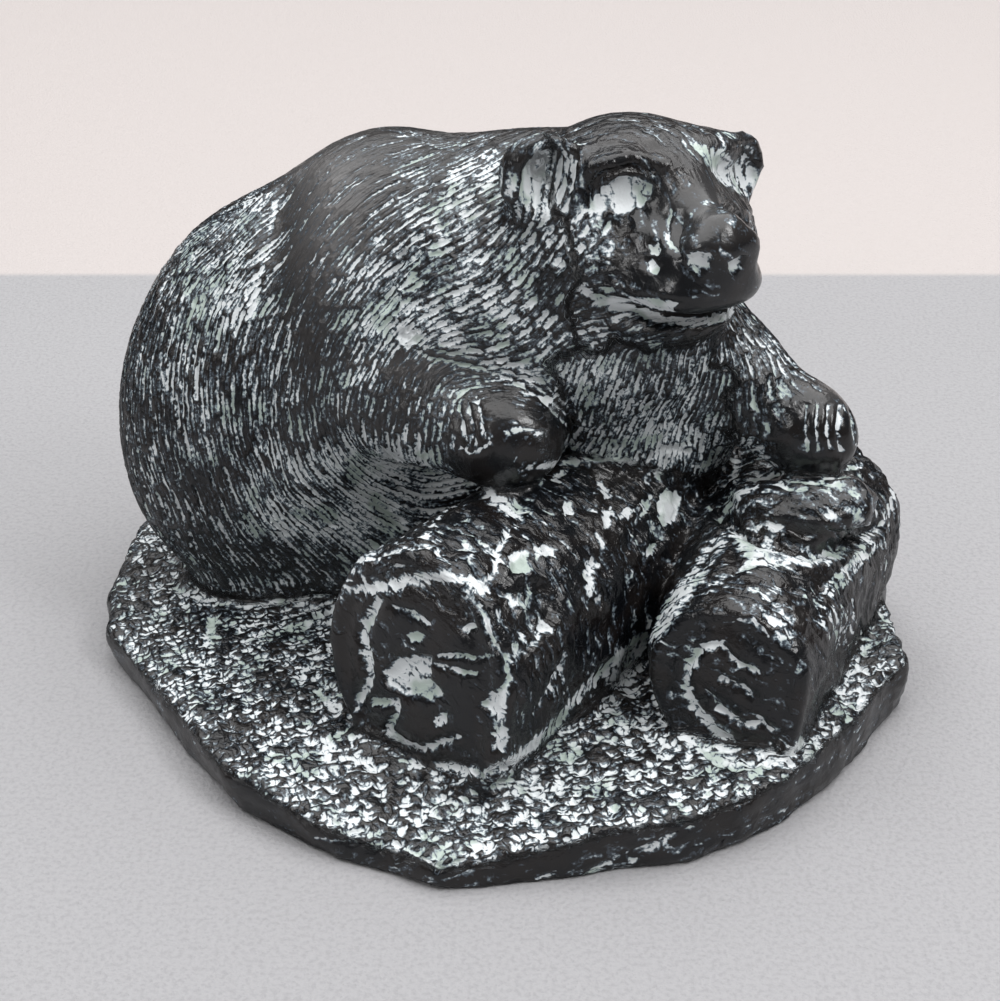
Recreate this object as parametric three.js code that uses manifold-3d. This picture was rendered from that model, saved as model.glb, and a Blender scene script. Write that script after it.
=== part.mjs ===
// A bear resting its forearms on two log ends, made in one piece with the rock slab that it stands on.
// Millimetres, +Z up. The origin is on the flat underside, below the middle of the slab.
// The front, with the log ends and the bear's face, is towards -Y; the rump is towards -X.
// The form is built up like clay: each mass is a signed distance, negative inside, and masses are blended,
// then one closed skin is drawn round the result, thinned to a light mesh and cut flat below.

import * as THREE from "three";
import { ImprovedNoise } from "three/addons/math/ImprovedNoise.js";
import { SimplifyModifier } from "three/addons/modifiers/SimplifyModifier.js";
import { mergeVertices } from "three/addons/utils/BufferGeometryUtils.js";
import Module from "manifold-3d";

// Driving dimensions of the whole statue
const STATUE = { width: 166, depth: 139, height: 118 };

// The rock slab: its outline runs counter-clockwise from the front corner
const SLAB = {
  corners: [
    [-11, -69.5], [10, -67.5], [35, -62], [53, -52], [69.5, -31], [81.5, -14], [81, 8], [80.5, 25], [71, 46],
    [40, 65], [-8, 69.5], [-46, 66], [-72, 57], [-80, 45], [-83, 17], [-80.5, 2], [-61.5, -29], [-51, -45],
    [-34, -59],
  ],
  top: 10.5,
  rise: 0.02, // slope of the top up towards the right
  swell: { size: 16, height: 0.9, seed: 3.1 },
  frontDip: { at: [-14, -70], radius: 24, depth: 4 },
  overhang: { lean: 0.2, from: -20, over: 30 }, // the left edge leans outwards
  chip: { size: 12, depth: 1.2, least: 1.1, seed: 7.7 },
  edgeRadius: 1.2,
};

// The bear's masses: middle, radii, and turn in degrees as yaw, pitch and roll
const TRUNK = {
  rump: { at: [-42, 30, 50.5], radii: [34.5, 32, 41.5], turn: [0, 0, 6] },
  ribs: { at: [-23, 26, 68], radii: [30, 30, 38.5], turn: [-6, 0, 10] },
  withers: { at: [4, 19, 74], radii: [27, 26, 33] },
  chest: { at: [25, 15, 58], radii: [25, 19, 30] },
  belly: { at: [-12, 26, 28], radii: [46, 22, 34] },
};
const NECK = {
  throat: { at: [20, 2, 76], radii: [21, 15, 16] },
  nape: { from: [4, 16, 82], to: [21, 8, 96], radii: [24, 18] },
};
const HIND_LEGS = {
  rightThigh: { at: [-54, 22, 45], radii: [24, 22, 35], turn: [0, 0, 4] },
  rightFoot: { at: [-48, 23, 12], radii: [17, 14, 7] },
  leftThigh: { at: [-47, 44, 44], radii: [25, 20, 34] },
  leftFoot: { at: [-42, 50, 14], radii: [20, 12, 9], turn: [10, 0, 0] },
  rightShin: { from: [-52, 21, 32], to: [-50, 26, 14], radii: [16, 15] },
};
const RIGHT_FORELEG = {
  paw: { at: [2, -10, 59], radii: [10.5, 8.5, 9], turn: [-20, 0, 0] },
  upper: { from: [-4, 8, 84], to: [-21, 4, 66], radii: [16, 12] },
  forearm: { from: [-22, 2, 61], to: [-2, -8, 60], radii: [11, 10] },
  claws: { at: [1, -11, 59], lean: 0.1 },
};
const LEFT_FORELEG = {
  paw: { at: [60, -1, 55], radii: [9.5, 7.5, 8], turn: [-15, 0, 16] },
  upper: { from: [34, 15, 71], to: [44, 10, 64], radii: [13, 11] },
  forearm: { from: [44, 7, 62], to: [58, 1, 56.5], radii: [10.5, 8.5] },
  claws: { at: [61, -2, 55], lean: 0.15 },
};
const CLAWS = { pitch: 4, depth: 1.3, count: 4, up: 5, down: 8, fade: 3 };

// The crease between the haunch and the ribs, from low on the flank to beside the spine
const FLANK_CREASE = { depth: 2.4, width: 3.5, foot: 34, low: [-47, 45], high: [-41, 95], spine: 30, bare: 7 };

// The head, about the middle of the skull, looking along -Y; a paired feature is given for one side
const HEAD = { at: [26.2, 4, 101.5], turn: [27, 0, 1] };
const FACE = {
  skull: { at: [0, 0, -0.4], radii: [17.5, 17, 14.5] },
  jaw: { at: [0, -11.5, -17.5], radii: [12, 11.5, 4.6] },
  muzzle: { from: [0, -9, -4], to: [0, -20, -5], radii: [11.5, 9.2] },
  jowl: { at: [10.5, -5, -9], radii: [10, 11, 10] },
  brow: { at: [9.2, -6.2, 10], radii: [7, 5.2, 3], turn: [12, 0, 8] },
  lip: { at: [5, -18.5, -9.5], radii: [8, 8.5, 5] },
  nose: { at: [0.5, -25.5, -1], radii: [8.3, 5, 5.8] },
};
const PITS = {
  socket: { at: [9.8, -15, 5.2], radii: [6, 8, 4.2], depth: 4.4 },
  tear: { at: [9, -17, -3.4], radii: [3.4, 5, 1.8], depth: 1.2 },
  nostril: { at: [3.7, -30, -3.4], radii: [2.3, 3, 2], depth: 2.8 },
};
const MOUTH = { height: -14.2, curve: 0.004, width: 1.6, depth: 2.4, corner: -8.5, fade: 3 };
const EAR = { radii: [7.4, 4.2, 7.6], scoop: [5.6, 5, 5.8], forward: 4.4, yaw: 20, roll: 24, lip: 1.5 };
const EARS = [
  { at: [-21, 0.5, 7], size: 1.1, side: -1 },
  { at: [17.8, -3, 3.6], size: 1, side: 1 },
];

// The two logs lie on the slab: their cut ends face the front, and both run back under the bear's chest
const LOGS = [
  { end: [-16, -42.5, 29.5], yaw: 38, radii: [21.5, 19], length: 72, lean: 10 },
  { end: [41, -42, 25], yaw: 19, radii: [14.8, 22], length: 67, lean: 6 },
];
const BARK = { lump: 1.1, long: 8, wide: 7, rim: 6 };
const RING = { at: 0.78, width: 1.4, depth: 1.6 }; // the groove inside the bark, as a share of the radius
const SAWN_EDGE = { near: 2, far: 4 };
const LOG_FILL = { most: 0.95, least: 0.5 }; // how much the side below a log's middle is filled out with rock
const STUB = { at: [58.5, -8, 42.5], radii: [14, 8, 5.5], turn: [6, 0, -6] };

// How softly the masses run into each other
const BLEND = { trunk: 9, legs: 6, limb: 5, neck: 8, face: 5, nose: 2, ear: 3, head: 6, foreleg: 3, log: 2, slab: 3 };
const SKIN = { step: 1.1, triangles: 10000, block: 6, closest: 0.02 };

// Small helpers for points, angles and blending
const degrees = (a) => (a * Math.PI) / 180;
const clamp = (v, lo, hi) => Math.min(hi, Math.max(lo, v));
const share = (v) => clamp(v, 0, 1);
const mix = (a, b, t) => a + (b - a) * t;
const bell = (t) => Math.exp(-t * t);
const noise = new ImprovedNoise();
const FAR_OFF = 1000;

// Joins two distances with a fillet of about k.
function blend(a, b, k) {
  const h = Math.max(k - Math.abs(a - b), 0) / k;
  return Math.min(a, b) - (h * h * k) / 4;
}

// Takes b away from a, or cuts a by b, with the edge eased by about k.
const cut = (a, b, k) => -blend(-a, b, k);

const blendAll = (k, masses) => (x, y, z) => masses.reduce((d, mass) => blend(d, mass(x, y, z), k), FAR_OFF);

// Brings a point into the frame of something placed and turned by yaw, pitch and roll.
function frameAt(at, turn = [0, 0, 0]) {
  const [yaw, pitch, roll] = turn.map(degrees);
  const m = new THREE.Matrix4().makeRotationFromEuler(new THREE.Euler(pitch, roll, yaw, "ZXY")).elements;
  return (x, y, z) => {
    const [dx, dy, dz] = [x - at[0], y - at[1], z - at[2]];
    return [
      m[0] * dx + m[1] * dy + m[2] * dz,
      m[4] * dx + m[5] * dy + m[6] * dz,
      m[8] * dx + m[9] * dy + m[10] * dz,
    ];
  };
}

function placed(mass, { at, turn }) {
  const local = frameAt(at, turn);
  return (x, y, z) => mass(...local(x, y, z));
}

// An egg with three radii
function egg({ at, radii, turn }) {
  const local = frameAt(at, turn);
  return (x, y, z) => {
    const [u, v, w] = local(x, y, z).map((d, i) => d / radii[i]);
    const near = Math.hypot(u, v, w);
    const far = Math.hypot(u / radii[0], v / radii[1], w / radii[2]);
    return near < 1e-6 ? -Math.min(...radii) : (near * (near - 1)) / far;
  };
}

// A round limb between two joints, with its own radius at each
function limb({ from, to, radii }) {
  const start = new THREE.Vector3(...from);
  const axis = new THREE.Vector3(...to).sub(start);
  const point = new THREE.Vector3();
  return (x, y, z) => {
    point.set(x, y, z).sub(start);
    const t = share(point.dot(axis) / axis.lengthSq());
    return point.addScaledVector(axis, -t).length() - mix(radii[0], radii[1], t);
  };
}

const mass = (size) => (size.from ? limb(size) : egg(size));
const masses = (sizes) => Object.values(sizes).map(mass);

// A feature on both sides of the head
function pair({ at, radii, turn = [0, 0, 0] }) {
  const onSide = (side) => egg({
    at: [side * at[0], at[1], at[2]],
    radii,
    turn: [side * turn[0], turn[1], side * turn[2]],
  });
  return [onSide(-1), onSide(1)];
}

// The bear's body and hind legs, creased between haunch and ribs
function body() {
  const trunk = blendAll(BLEND.trunk, masses(TRUNK));
  const legs = blendAll(BLEND.legs, masses(HIND_LEGS));
  const { depth, width, foot, low, high, spine, bare } = FLANK_CREASE;
  return (x, y, z) => {
    const along = share((z - low[1]) / (high[1] - low[1]));
    const flank = share((Math.abs(y - spine) - bare) / bare) * share((z - foot) / (low[1] - foot));
    const crease = depth * flank * bell((x - mix(low[0], high[0], along)) / width);
    return blend(trunk(x, y, z) + crease, legs(x, y, z), BLEND.limb);
  };
}

// A foreleg bent along the log, with grooves between the claws on its front
function foreleg({ paw, upper, forearm, claws }) {
  const arm = blendAll(BLEND.limb, [mass(upper), mass(forearm), mass(paw)]);
  const [cx, cy, cz] = claws.at;
  const { pitch, depth, count, up, down, fade } = CLAWS;
  return (x, y, z) => {
    const across = (x - cx + claws.lean * (z - cz)) / pitch;
    const tall = share((z - cz + down) / fade) * share((cz + up - z) / fade);
    const front = share((cy - y) / fade) * share(count / 2 - Math.abs(across));
    return arm(x, y, z) + depth * front * tall * Math.cos(Math.PI * across) ** 4;
  };
}

function ear({ at, size, side }) {
  const turn = [side * EAR.yaw, 0, side * EAR.roll];
  const shell = egg({ at, radii: EAR.radii.map((r) => r * size), turn });
  const hollow = egg({ at: [at[0], at[1] - EAR.forward, at[2]], radii: EAR.scoop.map((r) => r * size), turn });
  return (x, y, z) => cut(shell(x, y, z), hollow(x, y, z), EAR.lip);
}

// How deep a pair of pits sinks the face at a point
const pit = ({ at, radii, depth }) => (x, y, z) =>
  depth * bell(Math.hypot((Math.abs(x) - at[0]) / radii[0], (y - at[1]) / radii[1], (z - at[2]) / radii[2]));

function head() {
  const { skull, jaw, muzzle, jowl, brow, lip, nose } = FACE;
  const face = blendAll(BLEND.face, [...masses({ skull, jaw, muzzle }), ...pair(jowl), ...pair(brow), ...pair(lip)]);
  const snout = egg(nose);
  const pits = Object.values(PITS).map(pit);
  const ears = EARS.map(ear);
  return (x, y, z) => {
    const mouth = bell((z - MOUTH.height - MOUTH.curve * x * x) / MOUTH.width) * share((MOUTH.corner - y) / MOUTH.fade);
    const sunk = pits.reduce((sum, hole) => sum + hole(x, y, z), MOUTH.depth * mouth);
    const skin = blend(face(x, y, z), snout(x, y, z), BLEND.nose) + sunk;
    return ears.reduce((d, shell) => blend(d, shell(x, y, z), BLEND.ear), skin);
  };
}

// A log lying on the rock, filled out below, its ends cut off and grooved inside the bark
function log({ end, yaw, radii, length, lean }) {
  const local = frameAt(end, [-yaw, 0, 0]);
  const slope = Math.tan(degrees(lean));
  return (x, y, z) => {
    const [lateral, along, rise] = local(x, y, z);
    const inward = share(along / radii[0] + share(lateral / radii[0]));
    const fill = mix(LOG_FILL.most, LOG_FILL.least, inward);
    const out = Math.hypot(lateral, rise > 0 ? rise : fill * rise);
    const round = (Math.atan2(rise, lateral) * radii[0]) / BARK.wide;
    const lump = BARK.lump * noise.noise(along / BARK.long, round, yaw) * share(along / BARK.rim);
    const radius = mix(radii[0], radii[1], share(along / length));
    const ring = RING.depth * bell((out - RING.at * radius) / RING.width);
    const bark = out - radius - lump;
    const near = slope * rise - along + ring;
    const far = along - length + ring;
    return cut(cut(bark, -near, SAWN_EDGE.near), -far, SAWN_EDGE.far);
  };
}

// Signed distance from a closed outline, negative inside
function outline(corners) {
  return (x, y) => {
    let nearest = Infinity;
    let sign = 1;
    corners.forEach(([ax, ay], i) => {
      const [bx, by] = corners[(i + 1) % corners.length];
      const t = share(((x - ax) * (bx - ax) + (y - ay) * (by - ay)) / ((bx - ax) ** 2 + (by - ay) ** 2));
      nearest = Math.min(nearest, Math.hypot(x - mix(ax, bx, t), y - mix(ay, by, t)));
      const crossed = ay > y !== by > y && x < ax + ((y - ay) * (bx - ax)) / (by - ay);
      if (crossed) sign = -sign;
    });
    return sign * nearest;
  };
}

// The slab: swelling on top, thin at its front corner, and chipped in flats round its upper edge
function slab() {
  const edge = outline(SLAB.corners);
  const { top, rise, swell, frontDip, overhang, chip, edgeRadius } = SLAB;
  return (x, y, z) => {
    const dip = frontDip.depth * bell(Math.hypot(x - frontDip.at[0], y - frontDip.at[1]) / frontDip.radius);
    const rough = swell.height * noise.noise(x / swell.size, y / swell.size, swell.seed);
    const height = top - dip + rise * x + rough;
    const lean = overhang.lean * z * share((overhang.from - x) / overhang.over);
    const side = edge(x, y) - lean + chip.depth * noise.noise(x / chip.size, y / chip.size, z / chip.size);
    const flat = chip.least + chip.depth * noise.noise(x / chip.size, y / chip.size, chip.seed);
    const chamfer = (side + z - height) * Math.SQRT1_2 + flat;
    return cut(cut(side, height - z, edgeRadius), -chamfer, edgeRadius);
  };
}

// All of it, as one mass
function statue() {
  const carcass = body();
  const neck = blendAll(BLEND.neck, masses(NECK));
  const skull = placed(head(), HEAD);
  const forelegs = [RIGHT_FORELEG, LEFT_FORELEG].map(foreleg);
  const timber = blendAll(BLEND.log, [...LOGS.map(log), egg(STUB)]);
  const rock = slab();
  return (x, y, z) => {
    let bear = blend(carcass(x, y, z), neck(x, y, z), BLEND.trunk);
    bear = blend(bear, skull(x, y, z), BLEND.head);
    bear = forelegs.reduce((d, leg) => blend(d, leg(x, y, z), BLEND.foreleg), bear);
    return blend(blend(bear, timber(x, y, z), BLEND.log), rock(x, y, z), BLEND.slab);
  };
}

// A cell's corners, and the six tetrahedra round its long diagonal
const CORNERS = [[0, 0, 0], [1, 0, 0], [1, 1, 0], [0, 1, 0], [0, 0, 1], [1, 0, 1], [1, 1, 1], [0, 1, 1]];
const TETRAHEDRA = [[0, 1, 2, 6], [0, 2, 3, 6], [0, 3, 7, 6], [0, 7, 4, 6], [0, 4, 5, 6], [0, 5, 1, 6]];

// The faces of the skin in a tetrahedron, by a bit mask of which corners are inside.
// Each face is three points, and each point is given by the two corners that it lies between.
const FACES = {
  1: [[0, 1, 0, 2, 0, 3]],
  2: [[1, 0, 1, 3, 1, 2]],
  4: [[2, 3, 2, 0, 2, 1]],
  8: [[3, 2, 3, 1, 3, 0]],
  3: [[0, 2, 0, 3, 1, 3], [0, 2, 1, 3, 1, 2]],
  5: [[0, 3, 0, 1, 2, 1], [0, 3, 2, 1, 2, 3]],
  9: [[0, 1, 0, 2, 3, 2], [0, 1, 3, 2, 3, 1]],
  6: [[1, 0, 1, 3, 2, 3], [1, 0, 2, 3, 2, 0]],
  10: [[1, 2, 1, 0, 3, 0], [1, 2, 3, 0, 3, 2]],
  12: [[2, 0, 2, 1, 3, 1], [2, 0, 3, 1, 3, 0]],
};
for (const mask of [7, 11, 13, 14]) {
  FACES[mask] = FACES[15 - mask].map(([a, b, c, d, e, f]) => [a, b, e, f, c, d]);
}

// Draws one closed skin round a mass within a box, by marching through tetrahedra.
function skin(form, low, high, step) {
  const count = low.map((v, i) => Math.ceil((high[i] - v) / step) + 1);
  const layer = count[0] * count[1];
  const cell = (g) => [g % count[0], Math.floor(g / count[0]) % count[1], Math.floor(g / layer)];
  const place = (g) => cell(g).map((n, i) => low[i] + step * n);
  const blocks = new Map();
  const blockDistance = (g) => {
    const block = cell(g).map((n) => Math.floor(n / SKIN.block));
    const key = block.join();
    if (!blocks.has(key)) blocks.set(key, form(...block.map((n, i) => low[i] + step * SKIN.block * (n + 0.5))));
    return blocks.get(key);
  };
  const farAway = 2 * SKIN.block * step; // a block this far from the skin is all inside or all outside
  const closest = SKIN.closest * step; // keeps the skin off the grid's own corners
  const value = Float32Array.from({ length: layer * count[2] }, (_, g) => {
    const rough = blockDistance(g);
    if (Math.abs(rough) > farAway) return rough;
    const distance = form(...place(g));
    return Math.abs(distance) < closest ? closest : distance;
  });
  const offsets = CORNERS.map(([i, j, k]) => i + j * count[0] + k * layer);
  const edgeKeys = new Map(offsets.map((offset, i) => [offset, i]));
  const points = [];
  const index = [];
  const known = new Map();
  const crossing = (g, h) => {
    const [a, b] = g < h ? [g, h] : [h, g];
    const key = a * CORNERS.length + edgeKeys.get(b - a);
    if (!known.has(key)) {
      const t = value[a] / (value[a] - value[b]);
      const [p, q] = [place(a), place(b)];
      known.set(key, points.length / 3);
      points.push(...p.map((v, i) => mix(v, q[i], t)));
    }
    return known.get(key);
  };
  for (let g = 0; g < layer * (count[2] - 1); g++) {
    const [column, row] = cell(g);
    if (column === count[0] - 1 || row === count[1] - 1) continue;
    const inside = offsets.filter((offset) => value[g + offset] < 0).length;
    if (inside === 0 || inside === CORNERS.length) continue;
    for (const tetrahedron of TETRAHEDRA) {
      const c = tetrahedron.map((v) => g + offsets[v]);
      const mask = c.reduce((m, corner, bit) => (value[corner] < 0 ? m | (1 << bit) : m), 0);
      for (const f of FACES[mask] ?? []) {
        index.push(crossing(c[f[0]], c[f[1]]), crossing(c[f[2]], c[f[3]]), crossing(c[f[4]], c[f[5]]));
      }
    }
  }
  return new THREE.BufferGeometry()
    .setAttribute("position", new THREE.Float32BufferAttribute(points, 3))
    .setIndex(index);
}

// Thins a mesh to about a number of triangles, keeping its form.
async function thinned(geometry, triangles) {
  const vertices = geometry.getAttribute("position").count;
  const kept = (vertices * triangles * 3) / geometry.index.count;
  return new SimplifyModifier().modify(geometry, Math.round(vertices - kept));
}

// Cuts a mesh off flat at the underside.
async function cutFlat(geometry) {
  const wasm = await Module();
  wasm.setup();
  const solid = (g) => new wasm.Manifold(new wasm.Mesh({
    numProp: 3,
    vertProperties: new Float32Array(g.getAttribute("position").array),
    triVerts: new Uint32Array(g.index.array),
  }));
  const ground = new THREE.BoxGeometry(2 * STATUE.width, 2 * STATUE.depth, 2 * SLAB.top);
  ground.translate(0, 0, -SLAB.top);
  ground.deleteAttribute("normal");
  ground.deleteAttribute("uv");
  const made = solid(geometry).subtract(solid(mergeVertices(ground))).getMesh();
  return new THREE.BufferGeometry()
    .setAttribute("position", new THREE.BufferAttribute(made.vertProperties, 3))
    .setIndex(new THREE.BufferAttribute(made.triVerts, 1));
}

// The grid reaches a little past the statue on every side, and the skin is closed just below the ground
const margin = 3 * SKIN.step;
const low = [-STATUE.width / 2 - margin, -STATUE.depth / 2 - margin, -margin];
const high = [STATUE.width / 2 + margin, STATUE.depth / 2 + margin, STATUE.height + margin];
const form = statue();
const closedForm = (x, y, z) => Math.max(form(x, y, z), low[2] + SKIN.step - z);
const light = await thinned(skin(closedForm, low, high, SKIN.step), SKIN.triangles);

const bear = new THREE.Mesh(
  await cutFlat(light),
  new THREE.MeshStandardMaterial({ color: 0x15171b, roughness: 0.25, metalness: 0 }),
);
bear.name = "bear_statue";

// The underside's middle is the origin
const box = new THREE.Box3().setFromObject(bear);
const middle = box.getCenter(new THREE.Vector3());
bear.geometry.translate(-middle.x, -middle.y, -box.min.z);

const group = new THREE.Group();
group.add(bear);

export default group;
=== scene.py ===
"""Dresses a cast figurine: a bear that leans its forelegs over two cut logs, on a chipped slab of rock.

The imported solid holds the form. Here a copy of it is given a fine, even skin, and that skin is carved the way the
master of such a casting is: the face, the claws, the sawn log ends and the bark with single touches of the tool,
and the fur, the bark and the stippled rock with thousands of short strokes laid like shingles. The strokes are
counted along and across the lie of the coat, and the finish reads the same count, so the pale wash lies in the
grooves that were carved. At the end the skin is thinned to a light mesh.

While it is carved, the skin is an array of points in millimetres, in the part's own frame: +Z up, +X towards the
bear's left forepaw, -Y towards the viewer. A touch of the tool is placed by where it shows in the portrait, in
pixels of a picture 1000 wide and 1001 high, and it works only on the surface that shows there.
"""

from __future__ import annotations

import itertools
import logging
import math
from collections.abc import Callable, Iterable
from dataclasses import dataclass, field, replace
from enum import Enum
from typing import Any

import bpy
import numpy as np
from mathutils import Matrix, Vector
from mathutils.bvhtree import BVHTree

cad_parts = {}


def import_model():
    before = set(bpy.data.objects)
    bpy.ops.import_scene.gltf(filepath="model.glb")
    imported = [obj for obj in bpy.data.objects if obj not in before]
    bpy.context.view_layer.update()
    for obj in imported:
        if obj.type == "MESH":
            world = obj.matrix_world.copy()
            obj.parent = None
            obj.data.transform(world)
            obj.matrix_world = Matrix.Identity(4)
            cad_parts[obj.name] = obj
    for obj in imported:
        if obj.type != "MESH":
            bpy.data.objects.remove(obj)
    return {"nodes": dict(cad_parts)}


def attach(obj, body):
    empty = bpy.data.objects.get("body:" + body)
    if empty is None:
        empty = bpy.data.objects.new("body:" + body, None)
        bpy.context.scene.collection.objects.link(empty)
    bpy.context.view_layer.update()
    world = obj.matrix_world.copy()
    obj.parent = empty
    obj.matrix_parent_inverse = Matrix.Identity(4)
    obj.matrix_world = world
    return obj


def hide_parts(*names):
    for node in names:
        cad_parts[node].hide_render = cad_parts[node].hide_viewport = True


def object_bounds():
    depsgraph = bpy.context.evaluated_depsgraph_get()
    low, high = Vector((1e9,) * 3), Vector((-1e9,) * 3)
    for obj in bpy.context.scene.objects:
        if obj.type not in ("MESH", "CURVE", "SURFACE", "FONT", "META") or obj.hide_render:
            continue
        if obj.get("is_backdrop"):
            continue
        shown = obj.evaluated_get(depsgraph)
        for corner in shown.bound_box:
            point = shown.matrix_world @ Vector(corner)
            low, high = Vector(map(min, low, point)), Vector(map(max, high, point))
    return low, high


log = logging.getLogger("bear_figurine")

MM = 0.001
NODE = "bear_statue"
PIECE = "carved_bear_statue"

Point = tuple[float, float, float]
Pixel = tuple[float, float]
Colour = tuple[float, float, float, float]
Guide = tuple[float, float, float, float]
Box = list[list[float]]
Feed = bpy.types.NodeSocket | float | Colour
Work = Callable[..., Any]


def smooth(low: float, high: float, value: np.ndarray) -> np.ndarray:
    """Rises smoothly from 0 at low to 1 at high.

    Args:
        low: Value that gives 0.
        high: Value that gives 1; it may be the smaller of the two.
        value: Numbers to rate.

    Returns:
        Numbers from 0 to 1.
    """
    t = np.clip((value - low) / (high - low), 0, 1)
    return t * t * (3 - 2 * t)


class Grain:
    """Smooth noise in three dimensions, the same on every run."""

    TABLE = 4096
    STRIDES = np.array([73856093, 19349663, 83492791])

    def __init__(self, seed: int) -> None:
        """Draws the noise's slopes.

        Args:
            seed: Number that fixes the noise.
        """
        slopes = np.random.default_rng(seed).normal(size=(self.TABLE, 3))
        self.slopes = slopes / np.linalg.norm(slopes, axis=1)[:, None]

    def key(self, cell: np.ndarray) -> np.ndarray:
        """Gives each whole-numbered cell its own place in the table."""
        mixed = cell * self.STRIDES
        return (mixed[:, 0] ^ mixed[:, 1] ^ mixed[:, 2]) % self.TABLE

    def at(self, points: np.ndarray, size: float = 1.0) -> np.ndarray:
        """Reads the noise.

        Args:
            points: Places, one row each.
            size: Width of one lump, in the points' unit.

        Returns:
            One number for each place, from about -1 to 1.
        """
        scaled = points / size
        cell = np.floor(scaled).astype(np.int64)
        inner = scaled - cell
        ease = inner * inner * inner * (inner * (inner * 6 - 15) + 10)
        total = np.zeros(len(points))
        for corner in itertools.product((0, 1), repeat=3):
            step = np.array(corner)
            slope = self.slopes[self.key(cell + step)]
            share = np.prod(np.where(step == 1, ease, 1 - ease), axis=1)
            total += share * np.einsum("ij,ij->i", slope, inner - step)
        return 1.6 * total

    def cells(self, points: np.ndarray, size: float) -> tuple[np.ndarray, np.ndarray]:
        """Divides space into irregular cells.

        Args:
            points: Places, one row each.
            size: Mean width of a cell.

        Returns:
            The distance to the nearest cell's middle as a share of size, and a number from 0 to 1 for that cell.
        """
        scaled = points / size
        cell = np.floor(scaled).astype(np.int64)
        nearest = np.full(len(points), np.inf)
        owner = np.zeros(len(points))
        for corner in itertools.product((-1, 0, 1), repeat=3):
            there = cell + np.array(corner)
            key = self.key(there)
            middle = there + 0.5 + 0.45 * self.slopes[key]
            distance = np.linalg.norm(scaled - middle, axis=1)
            closer = distance < nearest
            nearest[closer] = distance[closer]
            owner[closer] = key[closer] / self.TABLE
        return nearest, owner


@dataclass(frozen=True)
class Portrait:
    """Where the portrait is taken from."""

    width: int = 1000
    height: int = 1001
    focal: float = 1900.0
    distance: float = 375.0
    elevation: float = 30.0
    aim: Point = (0.6, -0.5, 40.0)
    sensor: float = 36.0
    hidden_past: float = 2.5
    shade_cell: int = 4

    @property
    def back(self) -> np.ndarray:
        """The direction from the aim to the eye."""
        lift = math.radians(self.elevation)
        return np.array([0.0, -math.cos(lift), math.sin(lift)])

    @property
    def eye(self) -> np.ndarray:
        """Where the camera stands, in millimetres."""
        return np.array(self.aim) + self.distance * self.back

    @property
    def up(self) -> np.ndarray:
        """The direction that is upwards in the picture."""
        return np.cross(self.back, np.array([1.0, 0.0, 0.0]))

    def project(self, points: np.ndarray) -> tuple[np.ndarray, np.ndarray]:
        """Finds where points show.

        Args:
            points: Places in millimetres, one row each.

        Returns:
            Their pixels, one row each, and their depths from the eye.
        """
        away = points - self.eye
        depth = -away @ self.back
        right = away[:, 0]
        rise = away @ self.up
        across = self.width / 2 + self.focal * right / depth
        down = self.height / 2 - self.focal * rise / depth
        return np.stack([across, down], axis=1), depth

    def ray(self, pixel: Pixel) -> np.ndarray:
        """The direction in which a pixel looks."""
        right = (pixel[0] - self.width / 2) / self.focal
        rise = (self.height / 2 - pixel[1]) / self.focal
        way = -self.back + right * np.array([1.0, 0.0, 0.0]) + rise * self.up
        return way / np.linalg.norm(way)

    def in_sight(self, pixels: np.ndarray, depth: np.ndarray, facing: np.ndarray) -> np.ndarray:
        """Tells which points show and which are behind something or turned away.

        Args:
            pixels: Where the points show, one row each.
            depth: Their depths.
            facing: How far each one's normal turns towards the eye.

        Returns:
            True for each point that shows.
        """
        columns = self.width // self.shade_cell + 1
        rows = self.height // self.shade_cell + 1
        column = np.clip(pixels[:, 0] // self.shade_cell, 0, columns - 1).astype(int)
        row = np.clip(pixels[:, 1] // self.shade_cell, 0, rows - 1).astype(int)
        place = row * columns + column
        front = facing > 0.05
        nearest = np.full(rows * columns, np.inf)
        np.minimum.at(nearest, place[front], depth[front])
        return front & (depth < nearest[place] + self.hidden_past)

    def add_camera(self) -> None:
        """Puts the camera where the portrait is taken from."""
        data = bpy.data.cameras.new("portrait_camera")
        data.sensor_width = self.sensor
        data.lens = self.sensor * self.focal / max(self.width, self.height)
        data.clip_start = 0.01
        data.clip_end = 20.0
        camera = bpy.data.objects.new("portrait_camera", data)
        camera.location = Vector(self.eye) * MM
        camera.rotation_euler = Vector(-self.back).to_track_quat("-Z", "Y").to_euler()
        bpy.context.scene.collection.objects.link(camera)
        bpy.context.scene.camera = camera


@dataclass(frozen=True)
class Mark:
    """One touch of the tool, drawn where it shows in the portrait."""

    points: tuple[Pixel, ...]
    width: float
    height: float = 0.0
    wash: float = 0.0
    closed: bool = False

    def distance(self, pixels: np.ndarray) -> np.ndarray:
        """How far pixels lie from the mark's line, or outside its patch; negative inside a patch."""
        corners = np.array(self.points, float)
        ends = np.roll(corners, -1, axis=0) if self.closed else corners[1:]
        starts = corners if self.closed else corners[:-1]
        nearest = np.full(len(pixels), np.inf)
        inside = np.zeros(len(pixels), bool)
        for a, b in zip(starts, ends):
            side = b - a
            share = np.clip(((pixels - a) @ side) / (side @ side), 0, 1)
            nearest = np.minimum(nearest, np.linalg.norm(pixels - a - share[:, None] * side, axis=1))
            spans = (a[1] > pixels[:, 1]) != (b[1] > pixels[:, 1])
            reach = a[0] + (pixels[:, 1] - a[1]) * side[0] / (side[1] if side[1] else 1e-9)
            inside ^= spans & (pixels[:, 0] < reach)
        return np.where(inside, -nearest, nearest) if self.closed else nearest

    def strength(self, pixels: np.ndarray) -> np.ndarray:
        """How strongly the mark acts at pixels, from 0 to 1."""
        distance = self.distance(pixels)
        if self.closed:
            return smooth(0.5 * self.width, -0.5 * self.width, distance)
        return smooth(self.width, 0, distance)


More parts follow.
